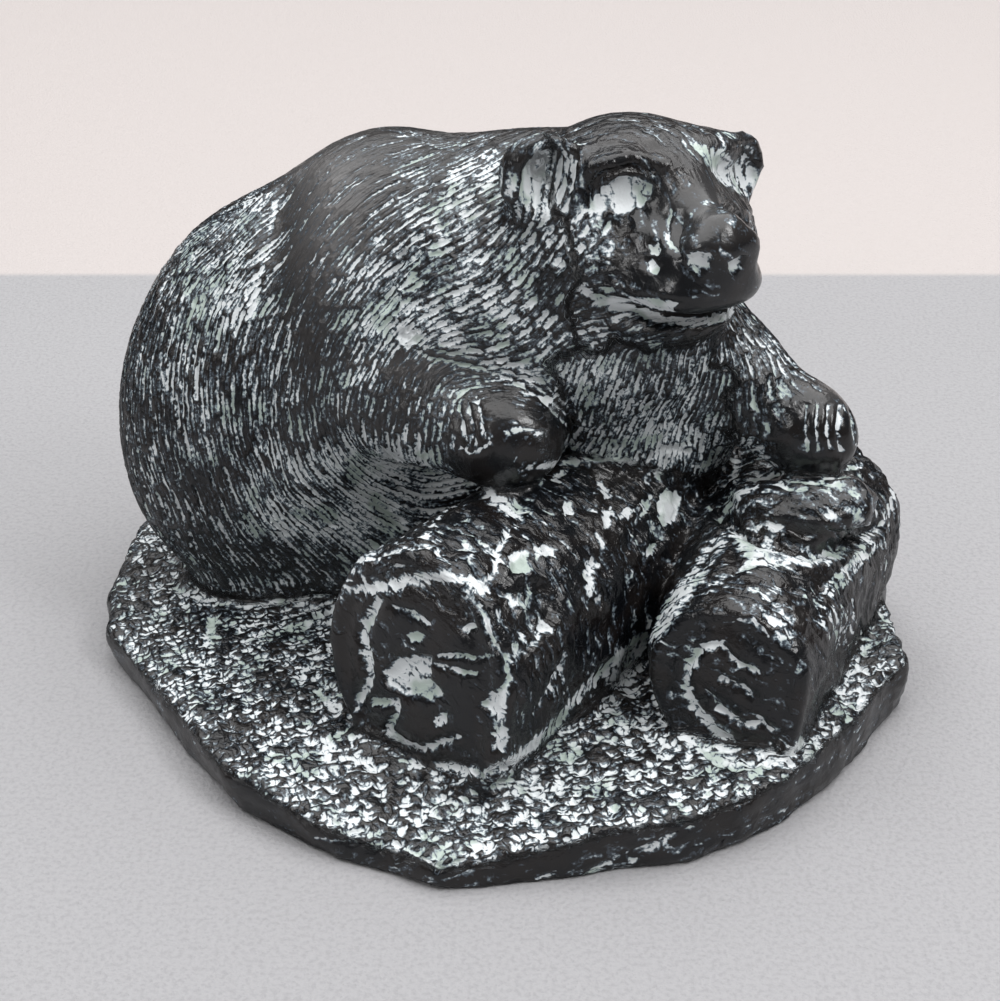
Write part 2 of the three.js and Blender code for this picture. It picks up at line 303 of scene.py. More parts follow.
def cut(width: float, depth: float, *points: Pixel, wash: float = 0.0) -> Mark:
    """A groove along a line, with its half width in pixels and its depth in millimetres."""
    return Mark(points, width, -depth, wash)


def ridge(width: float, height: float, *points: Pixel) -> Mark:
    """A raised line, with its half width in pixels and its height in millimetres."""
    return Mark(points, width, height)


def hollow(edge: float, depth: float, *points: Pixel, wash: float = 0.0) -> Mark:
    """A sunken patch with soft edges, in pixels and millimetres."""
    return Mark(points, edge, -depth, wash, closed=True)


def swell(edge: float, height: float, *points: Pixel) -> Mark:
    """A raised patch with soft edges, in pixels and millimetres."""
    return Mark(points, edge, height, closed=True)


def smear(width: float, wash: float, *points: Pixel) -> Mark:
    """A line of wash that is hardly sunk at all."""
    return Mark(points, width, -0.12, wash)


def rake(count: int, shift: Pixel, mark: Mark) -> tuple[Mark, ...]:
    """The same touch several times side by side, each a shift in pixels further on."""
    return tuple(
        replace(mark, points=tuple((x + i * shift[0], y + i * shift[1]) for x, y in mark.points)) for i in range(count)
    )


def marks_of(maker: object) -> list[Mark]:
    """All the touches that a part of the figure names, in order."""
    found = []
    for value in vars(maker).values():
        if isinstance(value, Mark):
            found.append(value)
        elif isinstance(value, tuple):
            found += [each for each in value if isinstance(each, Mark)]
    return found


class Clay:
    """The figurine's skin while it is being carved, in millimetres."""

    TOUCH_COVER = 1.45

    def __init__(self, piece: bpy.types.Object, portrait: Portrait, box: Box) -> None:
        """Takes up a piece's skin.

        Args:
            piece: Mesh object to carve.
            portrait: View that places the tool's single touches.
            box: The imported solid's box in metres, which the skin stays in.
        """
        self.piece = piece
        self.portrait = portrait
        self.low, self.high = np.array(box) / MM
        self.grain = Grain(11)
        self.load()

    def load(self) -> None:
        """Reads the piece's mesh again."""
        mesh = self.piece.data
        count = len(mesh.vertices)
        points = np.empty(3 * count, np.float32)
        mesh.vertices.foreach_get("co", points)
        self.points = points.reshape(-1, 3).astype(float) / MM
        edges = np.empty(2 * len(mesh.edges), np.int32)
        mesh.edges.foreach_get("vertices", edges)
        self.edges = edges.reshape(-1, 2)
        self.look()

    def look(self) -> None:
        """Works out the normals, and which points show in the portrait and where."""
        mesh = self.piece.data
        normals = np.empty(3 * len(mesh.vertices), np.float32)
        mesh.vertex_normals.foreach_get("vector", normals)
        self.normals = normals.reshape(-1, 3).astype(float)
        self.pixels, depth = self.portrait.project(self.points)
        towards = self.portrait.eye - self.points
        facing = np.einsum("ij,ij->i", self.normals, towards) / np.linalg.norm(towards, axis=1)
        self.seen = self.portrait.in_sight(self.pixels, depth, facing)

    def save(self) -> None:
        """Writes the points back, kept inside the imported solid's box."""
        self.points = np.clip(self.points, self.low, self.high)
        mesh = self.piece.data
        mesh.vertices.foreach_set("co", (self.points * MM).astype(np.float32).ravel())
        mesh.update()
        self.look()

    def push(self, height: np.ndarray) -> None:
        """Moves the skin outwards by a height in millimetres, and keeps the underside where it is."""
        above_ground = smooth(0.2, 1.2, self.points[:, 2])
        self.points += self.normals * (height * above_ground)[:, None]
        self.save()

    def relax(self, share: np.ndarray, rounds: int) -> None:
        """Evens out the skin by moving each point towards its neighbours.

        Args:
            share: How far each point moves, from 0 to 1.
            rounds: How many times.
        """
        for _ in range(rounds):
            self.points += share[:, None] * (self.around(self.points) - self.points)
        self.save()

    def around(self, values: np.ndarray) -> np.ndarray:
        """The mean of each point's neighbours, for an array with one row for each point."""
        first, second = self.edges.T
        count = len(self.points)
        reach = np.bincount(first, minlength=count) + np.bincount(second, minlength=count)
        columns = values.reshape(count, -1).T
        sums = [
            np.bincount(first, column[second], count) + np.bincount(second, column[first], count)
            for column in columns
        ]
        return (np.stack(sums, axis=1) / reach[:, None]).reshape(values.shape)

    def touch(self, marks: Iterable[Mark], where: np.ndarray, wash: np.ndarray, rough: float = 1.5) -> None:
        """Works single touches of the tool into the skin.

        Args:
            marks: The touches.
            where: True for the points that may be touched.
            wash: How much wash each point holds; the touches add theirs to it.
            rough: How far a touch's edge wavers, in pixels.
        """
        chosen = np.flatnonzero(self.seen & where)
        waver = [self.grain.at(self.points[chosen] + shift, 1.3) for shift in (0.0, 50.0)]
        pixels = self.pixels[chosen] + rough * np.stack(waver, axis=1)
        height = np.zeros(len(self.points))
        for mark in marks:
            corners = np.array(mark.points)
            low = corners.min(axis=0) - 2 * mark.width
            high = corners.max(axis=0) + 2 * mark.width
            near = np.all((pixels > low) & (pixels < high), axis=1)
            strength = mark.strength(pixels[near])
            height[chosen[near]] += mark.height * strength
            paint = self.TOUCH_COVER * mark.wash * smooth(0.1, 0.8, strength)
            wash[chosen[near]] = np.maximum(wash[chosen[near]], paint)
        self.push(height)

    def store(self, name: str, values: np.ndarray) -> None:
        """Keeps a number or a vector for each point as an attribute of the mesh.

        Args:
            name: The attribute's name.
            values: One number, or one row of three, for each point.
        """
        kind, key = ("FLOAT", "value") if values.ndim == 1 else ("FLOAT_VECTOR", "vector")
        attribute = self.piece.data.attributes.new(name, kind, "POINT")
        attribute.data.foreach_set(key, values.astype(np.float32).ravel())

    def take(self, name: str) -> np.ndarray:
        """Takes a number or a vector for each point off the mesh again, as an array."""
        attributes = self.piece.data.attributes
        attribute = attributes[name]
        width, key = (1, "value") if attribute.data_type == "FLOAT" else (3, "vector")
        values = np.empty(width * len(self.points), np.float32)
        attribute.data.foreach_get(key, values)
        attributes.remove(attribute)
        return values.astype(float) if width == 1 else values.reshape(-1, 3).astype(float)


@dataclass(frozen=True)
class Egg:
    """A rough round region, used to tell one part of the figure from another."""

    middle: Point
    radii: Point
    yaw: float = 0.0

    def share(self, points: np.ndarray) -> np.ndarray:
        """How far out points lie: 0 in the middle, 1 on the egg's surface."""
        turn = math.radians(self.yaw)
        away = points - np.array(self.middle)
        across = away[:, 0] * math.cos(turn) + away[:, 1] * math.sin(turn)
        along = -away[:, 0] * math.sin(turn) + away[:, 1] * math.cos(turn)
        return np.sqrt(
            (across / self.radii[0]) ** 2 + (along / self.radii[1]) ** 2 + (away[:, 2] / self.radii[2]) ** 2
        )

    def inside(self, points: np.ndarray, soft: float = 0.2) -> np.ndarray:
        """1 inside the egg and 0 outside, with a soft edge."""
        return smooth(1 + soft, 1 - soft, self.share(points))


@dataclass(frozen=True)
class Zone:
    """How the coat is cut and washed round a pixel of the portrait."""

    at: Pixel
    reach: Pixel
    pitch: float = 1.3
    length: float = 5.0
    depth: float = 0.6
    wash: float = 0.45
    fine: float = 1.0
    stray: float = 0.24
    # How far a painted sheen is mixed into the black here: a grey that stands in for the ceiling light's reflection.
    painted_sheen: float = 0.0

    def weight(self, pixels: np.ndarray) -> np.ndarray:
        """How far the zone rules at pixels."""
        away = (pixels - np.array(self.at)) / np.array(self.reach)
        return np.exp(-np.sum(away * away, axis=1))


@dataclass
class Tooling:
    """How the skin is tooled at each point: which way the strokes run, and their measures in millimetres."""

    lie: np.ndarray
    pitch: np.ndarray
    length: np.ndarray
    depth: np.ndarray
    wash: np.ndarray
    fine: np.ndarray
    stray: np.ndarray
    # The share of painted sheen at each point: a grey that stands in for the ceiling light's reflection.
    painted_sheen: np.ndarray

    def change(self, share: np.ndarray, lie: np.ndarray | None = None, **measures: float) -> None:
        """Changes the tooling on a region.

        Args:
            share: 1 in the region and 0 elsewhere.
            lie: Which way the strokes run there, where that changes too.
            measures: New measures by name.
        """
        for name, measure in measures.items():
            usual = getattr(self, name)
            setattr(self, name, usual + share * (measure - usual))
        if lie is not None:
            self.lie = np.where((share > 0.5)[:, None], lie, self.lie)


@dataclass(frozen=True)
class Shingles:
    """The strokes' common shape: rows of short grooves, counted along and across their lie.

    The sums are done by whatever does the work: by arrays for the carved relief, and by shader nodes for the wash.
    """

    stagger: float = 2.39
    column_turn: float = 1.73
    shuffle: float = 97.3
    weakest: float = 0.42

    def groove(self, work: Work, along: Any, across: Any) -> Any:
        """Finds how deep each place lies in its groove.

        Args:
            work: Does one sum, such as MULTIPLY, on one to three values.
            along: Count along the strokes.
            across: Count across the strokes.

        Returns:
            0 on the ridges and up to 1 at the bottom of the deepest grooves.
        """
        row = work("FLOOR", across)
        row_turn = work("MULTIPLY", row, self.stagger)
        placed = work("ADD", along, work("SINE", row_turn))
        turn = work("MULTIPLY_ADD", work("FLOOR", placed), self.column_turn, row_turn)
        luck = work("FRACT", work("MULTIPLY", work("SINE", turn), self.shuffle))
        strength = work("MULTIPLY_ADD", luck, 1 - self.weakest, self.weakest)
        side = self.away(work, across)
        end = self.away(work, placed)
        shape = work("MULTIPLY", work("SUBTRACT", 1.0, side), work("SUBTRACT", 1.0, work("MULTIPLY", end, end)))
        return work("MULTIPLY", strength, shape)

    def away(self, work: Work, count: Any) -> Any:
        """0 halfway between two whole numbers, and 1 at both."""
        off = work("SUBTRACT", work("FRACT", count), 0.5)
        return work("MULTIPLY", work("MULTIPLY", off, off), 4.0)


def on_arrays(kind: str, *values: Any) -> Any:
    """Does one sum on arrays, named as shader nodes name it."""
    sums = {
        "ADD": np.add,
        "SUBTRACT": np.subtract,
        "MULTIPLY": np.multiply,
        "MULTIPLY_ADD": lambda a, b, c: a * b + c,
        "FLOOR": np.floor,
        "FRACT": lambda a: a - np.floor(a),
        "SINE": np.sin,
    }
    return sums[kind](*values)


@dataclass(frozen=True)
class StrokeCount:
    """Counts the strokes along and across their lie, all over the skin.

    The counts are levels that rise by one from each stroke to the next. They hang together within a region, and
    may jump where one region meets the next or where the lie turns sharply.
    """

    rounds: int = 420
    loosest: float = 0.02
    apart: float = 0.0005
    stray_size: float = 2.6

    def count(self, clay: Clay, tooling: Tooling, region: np.ndarray, side: np.ndarray) -> np.ndarray:
        """Gives each point its place in the strokes.

        Args:
            clay: The skin.
            tooling: How it will be tooled.
            region: The number of each point's region.
            side: 1 where the count rises to the right of the lie, and -1 where it rises to the left.

        Returns:
            For each point, the count along, the count across, and 0.
        """
        first, second = clay.edges.T
        hold = np.clip(np.einsum("ij,ij->i", tooling.lie[first], tooling.lie[second]), self.loosest, 1)
        hold *= np.where(region[first] == region[second], 1, self.apart)
        step = clay.points[second] - clay.points[first]
        across = np.cross(clay.normals, tooling.lie) * side[:, None]
        count = np.zeros_like(clay.points)
        for column, way, size in ((0, tooling.lie, tooling.length), (1, across, tooling.pitch)):
            slope = way / size[:, None]
            rise = 0.5 * np.einsum("ij,ij->i", step, slope[first] + slope[second])
            count[:, column] = self.level(first, second, rise, hold, len(count))
            count[:, column] += tooling.stray * clay.grain.at(clay.points + 60 * column, self.stray_size)
        return count

    def level(
        self, first: np.ndarray, second: np.ndarray, rise: np.ndarray, hold: np.ndarray, count: int
    ) -> np.ndarray:
        """Finds levels that rise as asked along the edges, as nearly as can be, by conjugate gradients.

        Args:
            first: Each edge's first point.
            second: Each edge's second point.
            rise: What the level rises by along the edge.
            hold: How much the edge counts.
            count: Number of points.

        Returns:
            The levels.
        """
        def spread(flow: np.ndarray) -> np.ndarray:
            """Adds up what the edges bring to each point."""
            return np.bincount(second, flow, count) - np.bincount(first, flow, count)

        weight = 1 / (np.bincount(first, hold, count) + np.bincount(second, hold, count))
        level = np.zeros(count)
        left = spread(hold * rise)
        eased = weight * left
        way = eased
        size = left @ eased
        for _ in range(self.rounds):
            pull = spread(hold * (way[second] - way[first]))
            step = size / (way @ pull)
            level += step * way
            left -= step * pull
            eased = weight * left
            size, before = left @ eased, size
            way = eased + (size / before) * way
        return level


@dataclass(frozen=True)
class Coat:
    """The bear's fur: the lie of the coat, and how it is cut from place to place.

    A guide is a stroke of the coat, by the two pixels where it starts and ends.
    """

    mirror_plane: float = 26.0
    mirrored_before: float = 22.0
    nearness: float = 4.0
    wander: float = 4.0
    wander_size: float = 5.0
    # The back, its top and side, the ribs, the forearm, the bridge and the far wrist carry painted sheen: grey standing
    # in for the ceiling light's reflection on smooth black.
    back: Zone = Zone((330, 215), (42, 85), pitch=1.2, length=8, depth=0.3, wash=-0.05, painted_sheen=1.0)
    back_top: Zone = Zone((400, 140), (120, 22), pitch=1.2, length=8, depth=0.5, wash=0.12, painted_sheen=0.12)
    withers: Zone = Zone((430, 180), (55, 26), pitch=0.9, length=13, depth=0.7, wash=0.68)
    back_side: Zone = Zone((385, 215), (35, 26), pitch=0.95, length=11, depth=0.6, wash=0.42, painted_sheen=0.15)
    rump: Zone = Zone((250, 212), (38, 28), pitch=1.2, length=14, depth=0.85, wash=0.74)
    hip: Zone = Zone((222, 280), (42, 48), pitch=0.95, length=3.4, depth=1.0, wash=0.78)
    haunch: Zone = Zone((205, 360), (45, 50), pitch=1.05, length=10, depth=1.15, wash=0.48)
    haunch_foot: Zone = Zone((195, 490), (60, 70), pitch=1.1, length=6, depth=1.1, wash=0.4)
    crease_edge: Zone = Zone((262, 380), (18, 90), pitch=1.1, length=9, depth=0.8, wash=0.56)
    ribs: Zone = Zone((303, 350), (22, 90), pitch=1.1, length=10, depth=0.7, wash=0.34, painted_sheen=0.12)
    # The belly's wash lines are real, and they are laid on paler than elsewhere as painted light, to brighten the
    # shaded recess under the forearm.
    belly: Zone = Zone((370, 490), (85, 55), pitch=1.3, length=20, depth=0.9, wash=0.96)
    foot_edge: Zone = Zone((260, 572), (110, 18), pitch=1.4, length=5, depth=0.4, wash=0.42)
    rump_edge: Zone = Zone((140, 420), (14, 120), pitch=1.1, length=9, depth=0.7, wash=0.36)
    shoulder: Zone = Zone((365, 305), (38, 60), pitch=1.15, length=5.5, depth=0.95, wash=0.78)
    neck: Zone = Zone((470, 280), (80, 58), pitch=1.5, length=5.6, depth=1.1, wash=0.7)
    throat: Zone = Zone((560, 312), (50, 28), pitch=1.4, length=4.2, depth=1.0, wash=0.62)
    nape: Zone = Zone((488, 175), (14, 45), pitch=1.3, length=5, depth=0.8, wash=0.62)
    breast: Zone = Zone((640, 370), (110, 28), pitch=1.15, length=7, depth=0.9, wash=0.68)
    chest: Zone = Zone((640, 430), (110, 45), pitch=1.05, length=8, depth=0.9, wash=0.82)
    forearm: Zone = Zone((415, 412), (80, 26), pitch=1.0, length=2.4, depth=0.35, wash=0.2, painted_sheen=0.2)
    forearm_top: Zone = Zone((420, 365), (60, 14), pitch=1.2, length=4, depth=0.1, wash=-0.1, painted_sheen=0.6)
    forehead: Zone = Zone((640, 130), (80, 26), pitch=1.1, length=6, depth=0.3, wash=-0.1, painted_sheen=0.0)
    bridge: Zone = Zone((705, 190), (30, 40), pitch=1.1, length=5, depth=0.05, wash=-0.35, painted_sheen=0.3)
    cheek: Zone = Zone((590, 237), (50, 22), pitch=0.9, length=2.2, depth=0.6, wash=0.62)
    ear_root: Zone = Zone((550, 180), (20, 42), pitch=1.1, length=7, depth=0.6, wash=0.66)
    upper_lip: Zone = Zone((600, 274), (52, 12), pitch=1.2, length=1.8, depth=0.3, wash=0.1)
    lower_lip: Zone = Zone((675, 333), (58, 12), pitch=1.2, length=2.6, depth=0.2, wash=0.05)
    jowl: Zone = Zone((570, 275), (20, 34), pitch=1.1, length=3, depth=0.5, wash=0.16)
    under_jaw: Zone = Zone((565, 330), (50, 14), pitch=1.4, length=3.4, depth=0.8, wash=0.6)
    far_shoulder: Zone = Zone((770, 385), (40, 50), pitch=1.3, length=4.5, depth=0.7, wash=0.42)
    far_wrist: Zone = Zone((832, 390), (32, 12), pitch=1.2, length=2.6, depth=0.15, wash=-0.1, painted_sheen=0.5)
    back_guides: tuple[Guide, ...] = (
        (560, 142, 510, 142), (490, 152, 430, 152), (440, 175, 385, 190), (400, 145, 345, 160), (360, 190, 322, 230),
        (335, 150, 295, 178), (400, 215, 352, 248), (340, 262, 312, 312), (310, 330, 300, 390), (300, 420, 314, 470),
        (290, 300, 278, 360), (498, 165, 480, 169),
    )
    belly_guides: tuple[Guide, ...] = (
        (289, 411, 307, 457), (307, 457, 345, 487), (257, 434, 275, 472), (290, 482, 345, 505), (345, 497, 420, 512),
        (420, 508, 475, 492), (330, 425, 362, 462), (362, 462, 430, 486), (430, 484, 500, 480), (300, 530, 320, 570),
    )
    haunch_guides: tuple[Guide, ...] = (
        (287, 188, 229, 211), (278, 232, 240, 255), (257, 284, 240, 308), (215, 215, 180, 252), (190, 250, 162, 298),
        (160, 300, 141, 358), (131, 380, 131, 430), (200, 300, 190, 350), (185, 350, 182, 420), (180, 430, 186, 500),
        (190, 510, 200, 558), (240, 330, 226, 380), (226, 390, 226, 450), (230, 460, 236, 540), (255, 350, 252, 415),
        (144, 440, 166, 500),
    )
    neck_guides: tuple[Guide, ...] = (
        (556, 215, 532, 240), (505, 230, 488, 262), (470, 265, 420, 284), (480, 300, 440, 318), (452, 228, 408, 236),
        (532, 312, 500, 335), (430, 255, 400, 275), (364, 260, 336, 300), (382, 320, 345, 372), (420, 320, 398, 336),
        (560, 335, 510, 350), (375, 345, 352, 388), (540, 230, 512, 262), (532, 150, 524, 200),
    )
    forearm_guides: tuple[Guide, ...] = (
        (366, 392, 362, 425), (400, 395, 398, 430), (440, 395, 438, 430), (500, 370, 440, 352), (552, 410, 510, 378),
    )
    chest_guides: tuple[Guide, ...] = (
        (620, 345, 614, 385), (660, 347, 665, 382), (700, 342, 690, 378), (580, 352, 574, 384), (600, 400, 582, 440),
        (640, 402, 631, 450), (680, 402, 660, 450), (576, 392, 590, 425), (701, 398, 672, 425), (700, 430, 690, 468),
    )
    far_arm_guides: tuple[Guide, ...] = (
        (750, 332, 780, 368), (770, 400, 810, 420), (760, 350, 752, 392), (752, 420, 765, 450), (796, 372, 826, 390),
    )
    head_guides: tuple[Guide, ...] = (
        (705, 215, 672, 172), (668, 165, 640, 132), (640, 126, 600, 124), (600, 128, 570, 140), (571, 155, 545, 201),
        (600, 225, 572, 250), (640, 258, 600, 272), (640, 282, 590, 286), (700, 336, 640, 344), (620, 340, 575, 338),
    )

    @property
    def guides(self) -> tuple[tuple[Guide, ...], ...]:
        """The guides of each region in which the strokes are counted through."""
        trunk = self.back_guides + self.belly_guides + self.haunch_guides + self.neck_guides + self.forearm_guides
        return trunk, self.chest_guides, self.far_arm_guides, self.head_guides

    @property
    def zones(self) -> list[Zone]:
        """The zones of every region."""
        return [value for value in vars(self).values() if isinstance(value, Zone)]

    def comb(self, clay: Clay, surface: BVHTree) -> tuple[np.ndarray, np.ndarray]:
        """Works out which way the coat lies at every point of the skin.

        Args:
            clay: The skin.
            surface: The same skin, to find where a pixel's line of sight meets it.

        Returns:
            A unit direction along the skin for each point, and the number of the group of guides that rules there.
        """
        eye = Vector(clay.portrait.eye)
        total = np.zeros_like(clay.points)
        across = np.array([1.0, -1.0, 1.0])
        mirror = np.array([0.0, 2 * self.mirror_plane, 0.0])
        rule = np.zeros((len(self.guides), len(clay.points)))
        shifts = [clay.grain.at(clay.points + shift, self.wander_size) for shift in (5, 35, 65)]
        ragged = clay.points + self.wander * np.stack(shifts, axis=1)
        for number, group in enumerate(self.guides):
            for guide in group:
                hits = [surface.ray_cast(eye, Vector(clay.portrait.ray(pixel)))[0] for pixel in (guide[:2], guide[2:])]
                if None in hits:
                    log.warning("no fur under the guide %s", guide)
                    continue
                place = np.array((hits[0] + hits[1]) / 2)
                way = np.array((hits[1] - hits[0]).normalized())
                twins = [(place, way)]
                if place[0] < self.mirrored_before:
                    twins.append((place * across + mirror, way * across))
                for at, lie in twins:
                    total += lie * self.pull(clay.points - at)[:, None]
                    rule[number] += self.pull(ragged - at)
        return along_skin(total, clay.normals), np.argmax(rule, axis=0)

    def pull(self, away: np.ndarray) -> np.ndarray:
        """How much a guide counts at points that lie away from it."""
        return (np.sum(away**2, axis=1) + self.nearness**2) ** -1.6

    def tooling(self, clay: Clay, lie: np.ndarray) -> Tooling:
        """Works out how the coat is tooled at every point, blended from the zones.

        Args:
            clay: The skin.
            lie: Which way the coat lies.

        Returns:
            The tooling.
        """
        names = ("pitch", "length", "depth", "wash", "fine", "stray", "painted_sheen")
        usual = Zone((0, 0), (1, 1))
        total = np.outer([0.25 * getattr(usual, name) for name in names], np.ones(len(clay.points)))
        weights = np.full(len(clay.points), 0.25)
        for zone in self.zones:
            weight = zone.weight(clay.pixels)
            total += np.outer([getattr(zone, name) for name in names], weight)
            weights += weight
        return Tooling(lie, *(total / weights))


def along_skin(ways: np.ndarray, normals: np.ndarray) -> np.ndarray:
    """Turns directions so that they run along the skin, one unit long."""
    flat = ways - np.einsum("ij,ij->i", ways, normals)[:, None] * normals
    return flat / np.maximum(np.linalg.norm(flat, axis=1), 1e-9)[:, None]


@dataclass(frozen=True)
class Head:
    """The bear's head: ears, eyes, nose and mouth."""

    middle: Point = (27.4, 4.0, 101.5)
    yaw: float = 27.0
    muzzle: Point = (13.5, 14.0, 13.0)
    muzzle_ahead: float = 20.0
    muzzle_drop: float = 5.0
    bridge_fill: Mark = swell(
        30, 1.8, (644, 172), (668, 152), (700, 160), (728, 194), (744, 214), (730, 226), (700, 222), (672, 216), (650, 205)
    )
    cheek_fill: Mark = swell(22, 0.8, (630, 225), (655, 215), (672, 232), (674, 262), (650, 275), (625, 260))
    ear_rim: Mark = ridge(
        7, 0.6, (508, 206), (508, 182), (513, 161), (525, 147), (543, 140), (562, 142), (574, 150)
    )
    ear_cup: Mark = hollow(
        8, 1.1, (522, 160), (535, 151), (551, 152), (548, 175), (540, 200), (527, 212), (517, 195), wash=0.82
    )
    ear_hairs: tuple[Mark, ...] = rake(4, (7, 2), cut(3, 0.5, (556, 152), (550, 178), (544, 205), wash=0.75))
    above_brow: Mark = hollow(14, 0.5, (596, 150), (625, 146), (668, 146), (672, 156), (640, 158), (610, 160))
    brow: Mark = ridge(9, 0.9, (576, 206), (579, 186), (589, 170), (605, 159), (627, 154), (650, 158), (664, 171), (668, 190))
    brow_line: Mark = cut(8, 0.55, (582, 160), (600, 146), (628, 138), (655, 146))
    lid_line: Mark = cut(6, 1.2, (585, 205), (592, 186), (606, 173), (628, 167), (650, 170))
    lid: Mark = hollow(
        6, 0.9, (583, 213), (590, 200), (603, 188), (618, 178), (640, 176), (654, 185), (650, 200), (636, 208),
        (628, 213), (610, 211), wash=0.84
    )
    eye_slit: Mark = cut(3.5, 0.6, (584, 218), (600, 215), (625, 216), (634, 224))
    eye: Mark = hollow(6, 1.2, (596, 219), (612, 217), (630, 221), (634, 232), (618, 240), (600, 234))
    eye_glint: Mark = hollow(3, 0.1, (603, 222), (611, 223), (610, 229), (603, 228), wash=0.9)
    inner_corner: Mark = hollow(10, 1.0, (654, 166), (668, 168), (669, 192), (657, 206), (648, 200))
    nose_side: Mark = cut(3, 0.5, (674, 213), (668, 224), (669, 240), (676, 251), wash=0.7)
    far_eye: Mark = hollow(
        6, 0.2, (697, 149), (712, 148), (727, 153), (739, 166), (746, 184), (744, 194), (730, 189), (715, 179),
        (703, 165), wash=0.7
    )
    far_eye_glint: Mark = hollow(2, 0.1, (694, 145), (708, 144), (707, 150), (697, 151), wash=0.95)
    far_lid: Mark = smear(5, 0.6, (708, 172), (720, 185), (737, 190), (745, 195))
    far_ear_cup: Mark = hollow(5, 0.6, (742, 146), (754, 142), (758, 160), (756, 177), (749, 181), (744, 165), wash=0.55)
    nose_edge: Mark = cut(5, 0.8, (684, 218), (677, 238), (680, 262), (692, 279))
    nostril: Mark = hollow(
        4, 1.3, (686, 254), (697, 251), (711, 253), (714, 262), (707, 268), (700, 275), (690, 272), (686, 262), wash=0.86
    )
    far_nostril: Mark = hollow(4, 1.1, (730, 263), (741, 256), (746, 258), (742, 267), (733, 275), (729, 272), wash=0.86)
    whisker_pits: tuple[Mark, ...] = (
        hollow(3, 0.4, (651, 246), (661, 244), (665, 251), (660, 257), (652, 255), wash=0.85),
        hollow(3, 0.4, (645, 262), (656, 261), (662, 268), (657, 275), (648, 272), wash=0.8),
        hollow(3, 0.3, (552, 262), (560, 258), (566, 262), (557, 268), wash=0.9),
    )
    mouth: Mark = hollow(
        6, 0.4, (576, 289), (583, 286), (590, 293), (605, 296), (650, 299), (690, 305), (747, 303), (742, 315),
        (712, 326), (685, 327), (650, 318), (620, 310), (598, 306), (588, 298), wash=0.86
    )
    lip: Mark = ridge(8, 0.3, (600, 286), (650, 290), (700, 300), (748, 297))
    chin: Mark = ridge(9, 0.6, (628, 329), (680, 337), (715, 334))

    def muzzle_share(self, clay: Clay) -> np.ndarray:
        """1 on the smooth muzzle, nose and lips, and 0 elsewhere."""
        turn = math.radians(self.yaw)
        ahead = np.array([math.sin(turn), -math.cos(turn), 0.0]) * self.muzzle_ahead
        middle = np.array(self.middle) + ahead - np.array([0.0, 0.0, self.muzzle_drop])
        return Egg(tuple(middle), self.muzzle, self.yaw).inside(clay.points)

    def share(self, clay: Clay) -> np.ndarray:
        """1 on the head and 0 elsewhere."""
        return Egg(self.middle, (27.0, 30.0, 25.0), self.yaw).inside(clay.points, 0.08)

    def carve(self, clay: Clay, wash: np.ndarray) -> None:
        """Works the face into the skin.

        Args:
            clay: The skin.
            wash: How much wash each point holds.
        """
        clay.touch(marks_of(self), self.share(clay) > 0.5, wash, rough=1.2)

    def tool(self, clay: Clay, tooling: Tooling) -> None:
        """Leaves the muzzle smooth."""
        tooling.change(self.muzzle_share(clay), depth=0.0, wash=-0.35, fine=0.15, length=2.4, pitch=0.75)


@dataclass(frozen=True)
class Forelegs:
    """The forelegs laid over the logs, with their claws and smooth paws."""

    paws: tuple[Egg, ...] = (
        Egg((3.2, -11.0, 59.0), (12.0, 11.0, 11.0)),
        Egg((62.0, -2.0, 56.0), (10.5, 10.0, 8.5)),
    )
    claws: tuple[Mark, ...] = rake(3, (9, -4), cut(3.2, 0.7, (458, 405), (463, 428), (467, 448), wash=0.74))
    claw_roots: Mark = cut(2.5, 0.3, (456, 400), (466, 389), (480, 385), wash=0.8)
    claw_tips: Mark = cut(2.5, 0.3, (462, 448), (470, 454), (478, 451), (490, 443), wash=0.85)
    paw_edge: Mark = cut(5, 1.0, (569, 392), (572, 430), (567, 460))
    arm_lines: tuple[Mark, ...] = rake(
        3, (-1, 8), cut(2.4, 0.35, (400, 326), (432, 342), (475, 350), (512, 364), (542, 382), (570, 410), wash=0.75)
    )
    arm_glow: Mark = smear(3, 0.5, (405, 330), (435, 350), (470, 358), (505, 371), (535, 388), (556, 408))
    elbow_spot: Mark = hollow(4, 0.2, (398, 330), (408, 326), (416, 334), (410, 344), (400, 342), wash=0.95)
    cuff_spots: tuple[Mark, ...] = (
        hollow(3, 0.3, (380, 447), (392, 451), (407, 462), (398, 464), (384, 456), wash=0.95),
        hollow(3, 0.3, (412, 457), (431, 451), (434, 456), (418, 461), wash=0.95),
    )
    shoulder_fold: Mark = ridge(7, 0.9, (430, 253), (414, 274), (405, 300), (402, 328))
    behind_fold: Mark = cut(10, 1.4, (402, 255), (392, 276), (385, 300))
    # A painted highlight: a pale smear where the key light's reflection shows on the paw's top.
    paw_painted_highlight: Mark = smear(6, 0.62, (505, 432), (522, 428), (541, 433))
    far_claws: tuple[Mark, ...] = rake(4, (11, 0), cut(3, 0.6, (807, 405), (805, 428), (808, 450), wash=0.8))
    far_thumb: Mark = cut(2.5, 0.4, (850, 406), (853, 425), (856, 444), wash=0.7)
    far_arm_line: Mark = smear(3, 0.8, (752, 406), (762, 418), (770, 432))

    def paw_share(self, clay: Clay) -> np.ndarray:
        """1 on the smooth paws and 0 elsewhere."""
        return np.maximum.reduce([paw.inside(clay.points) for paw in self.paws])

    def carve(self, clay: Clay, coat: np.ndarray, wash: np.ndarray) -> None:
        """Works the claws and the folds of the forelegs into the skin.

        Args:
            clay: The skin.
            coat: True on the bear.
            wash: How much wash each point holds.
        """
        clay.touch(marks_of(self), coat, wash, rough=1.0)

    def tool(self, clay: Clay, tooling: Tooling) -> None:
        """Leaves the paws smooth."""
        tooling.change(self.paw_share(clay), depth=0.02, wash=-0.45, fine=0.15, length=2.4, pitch=1.2)


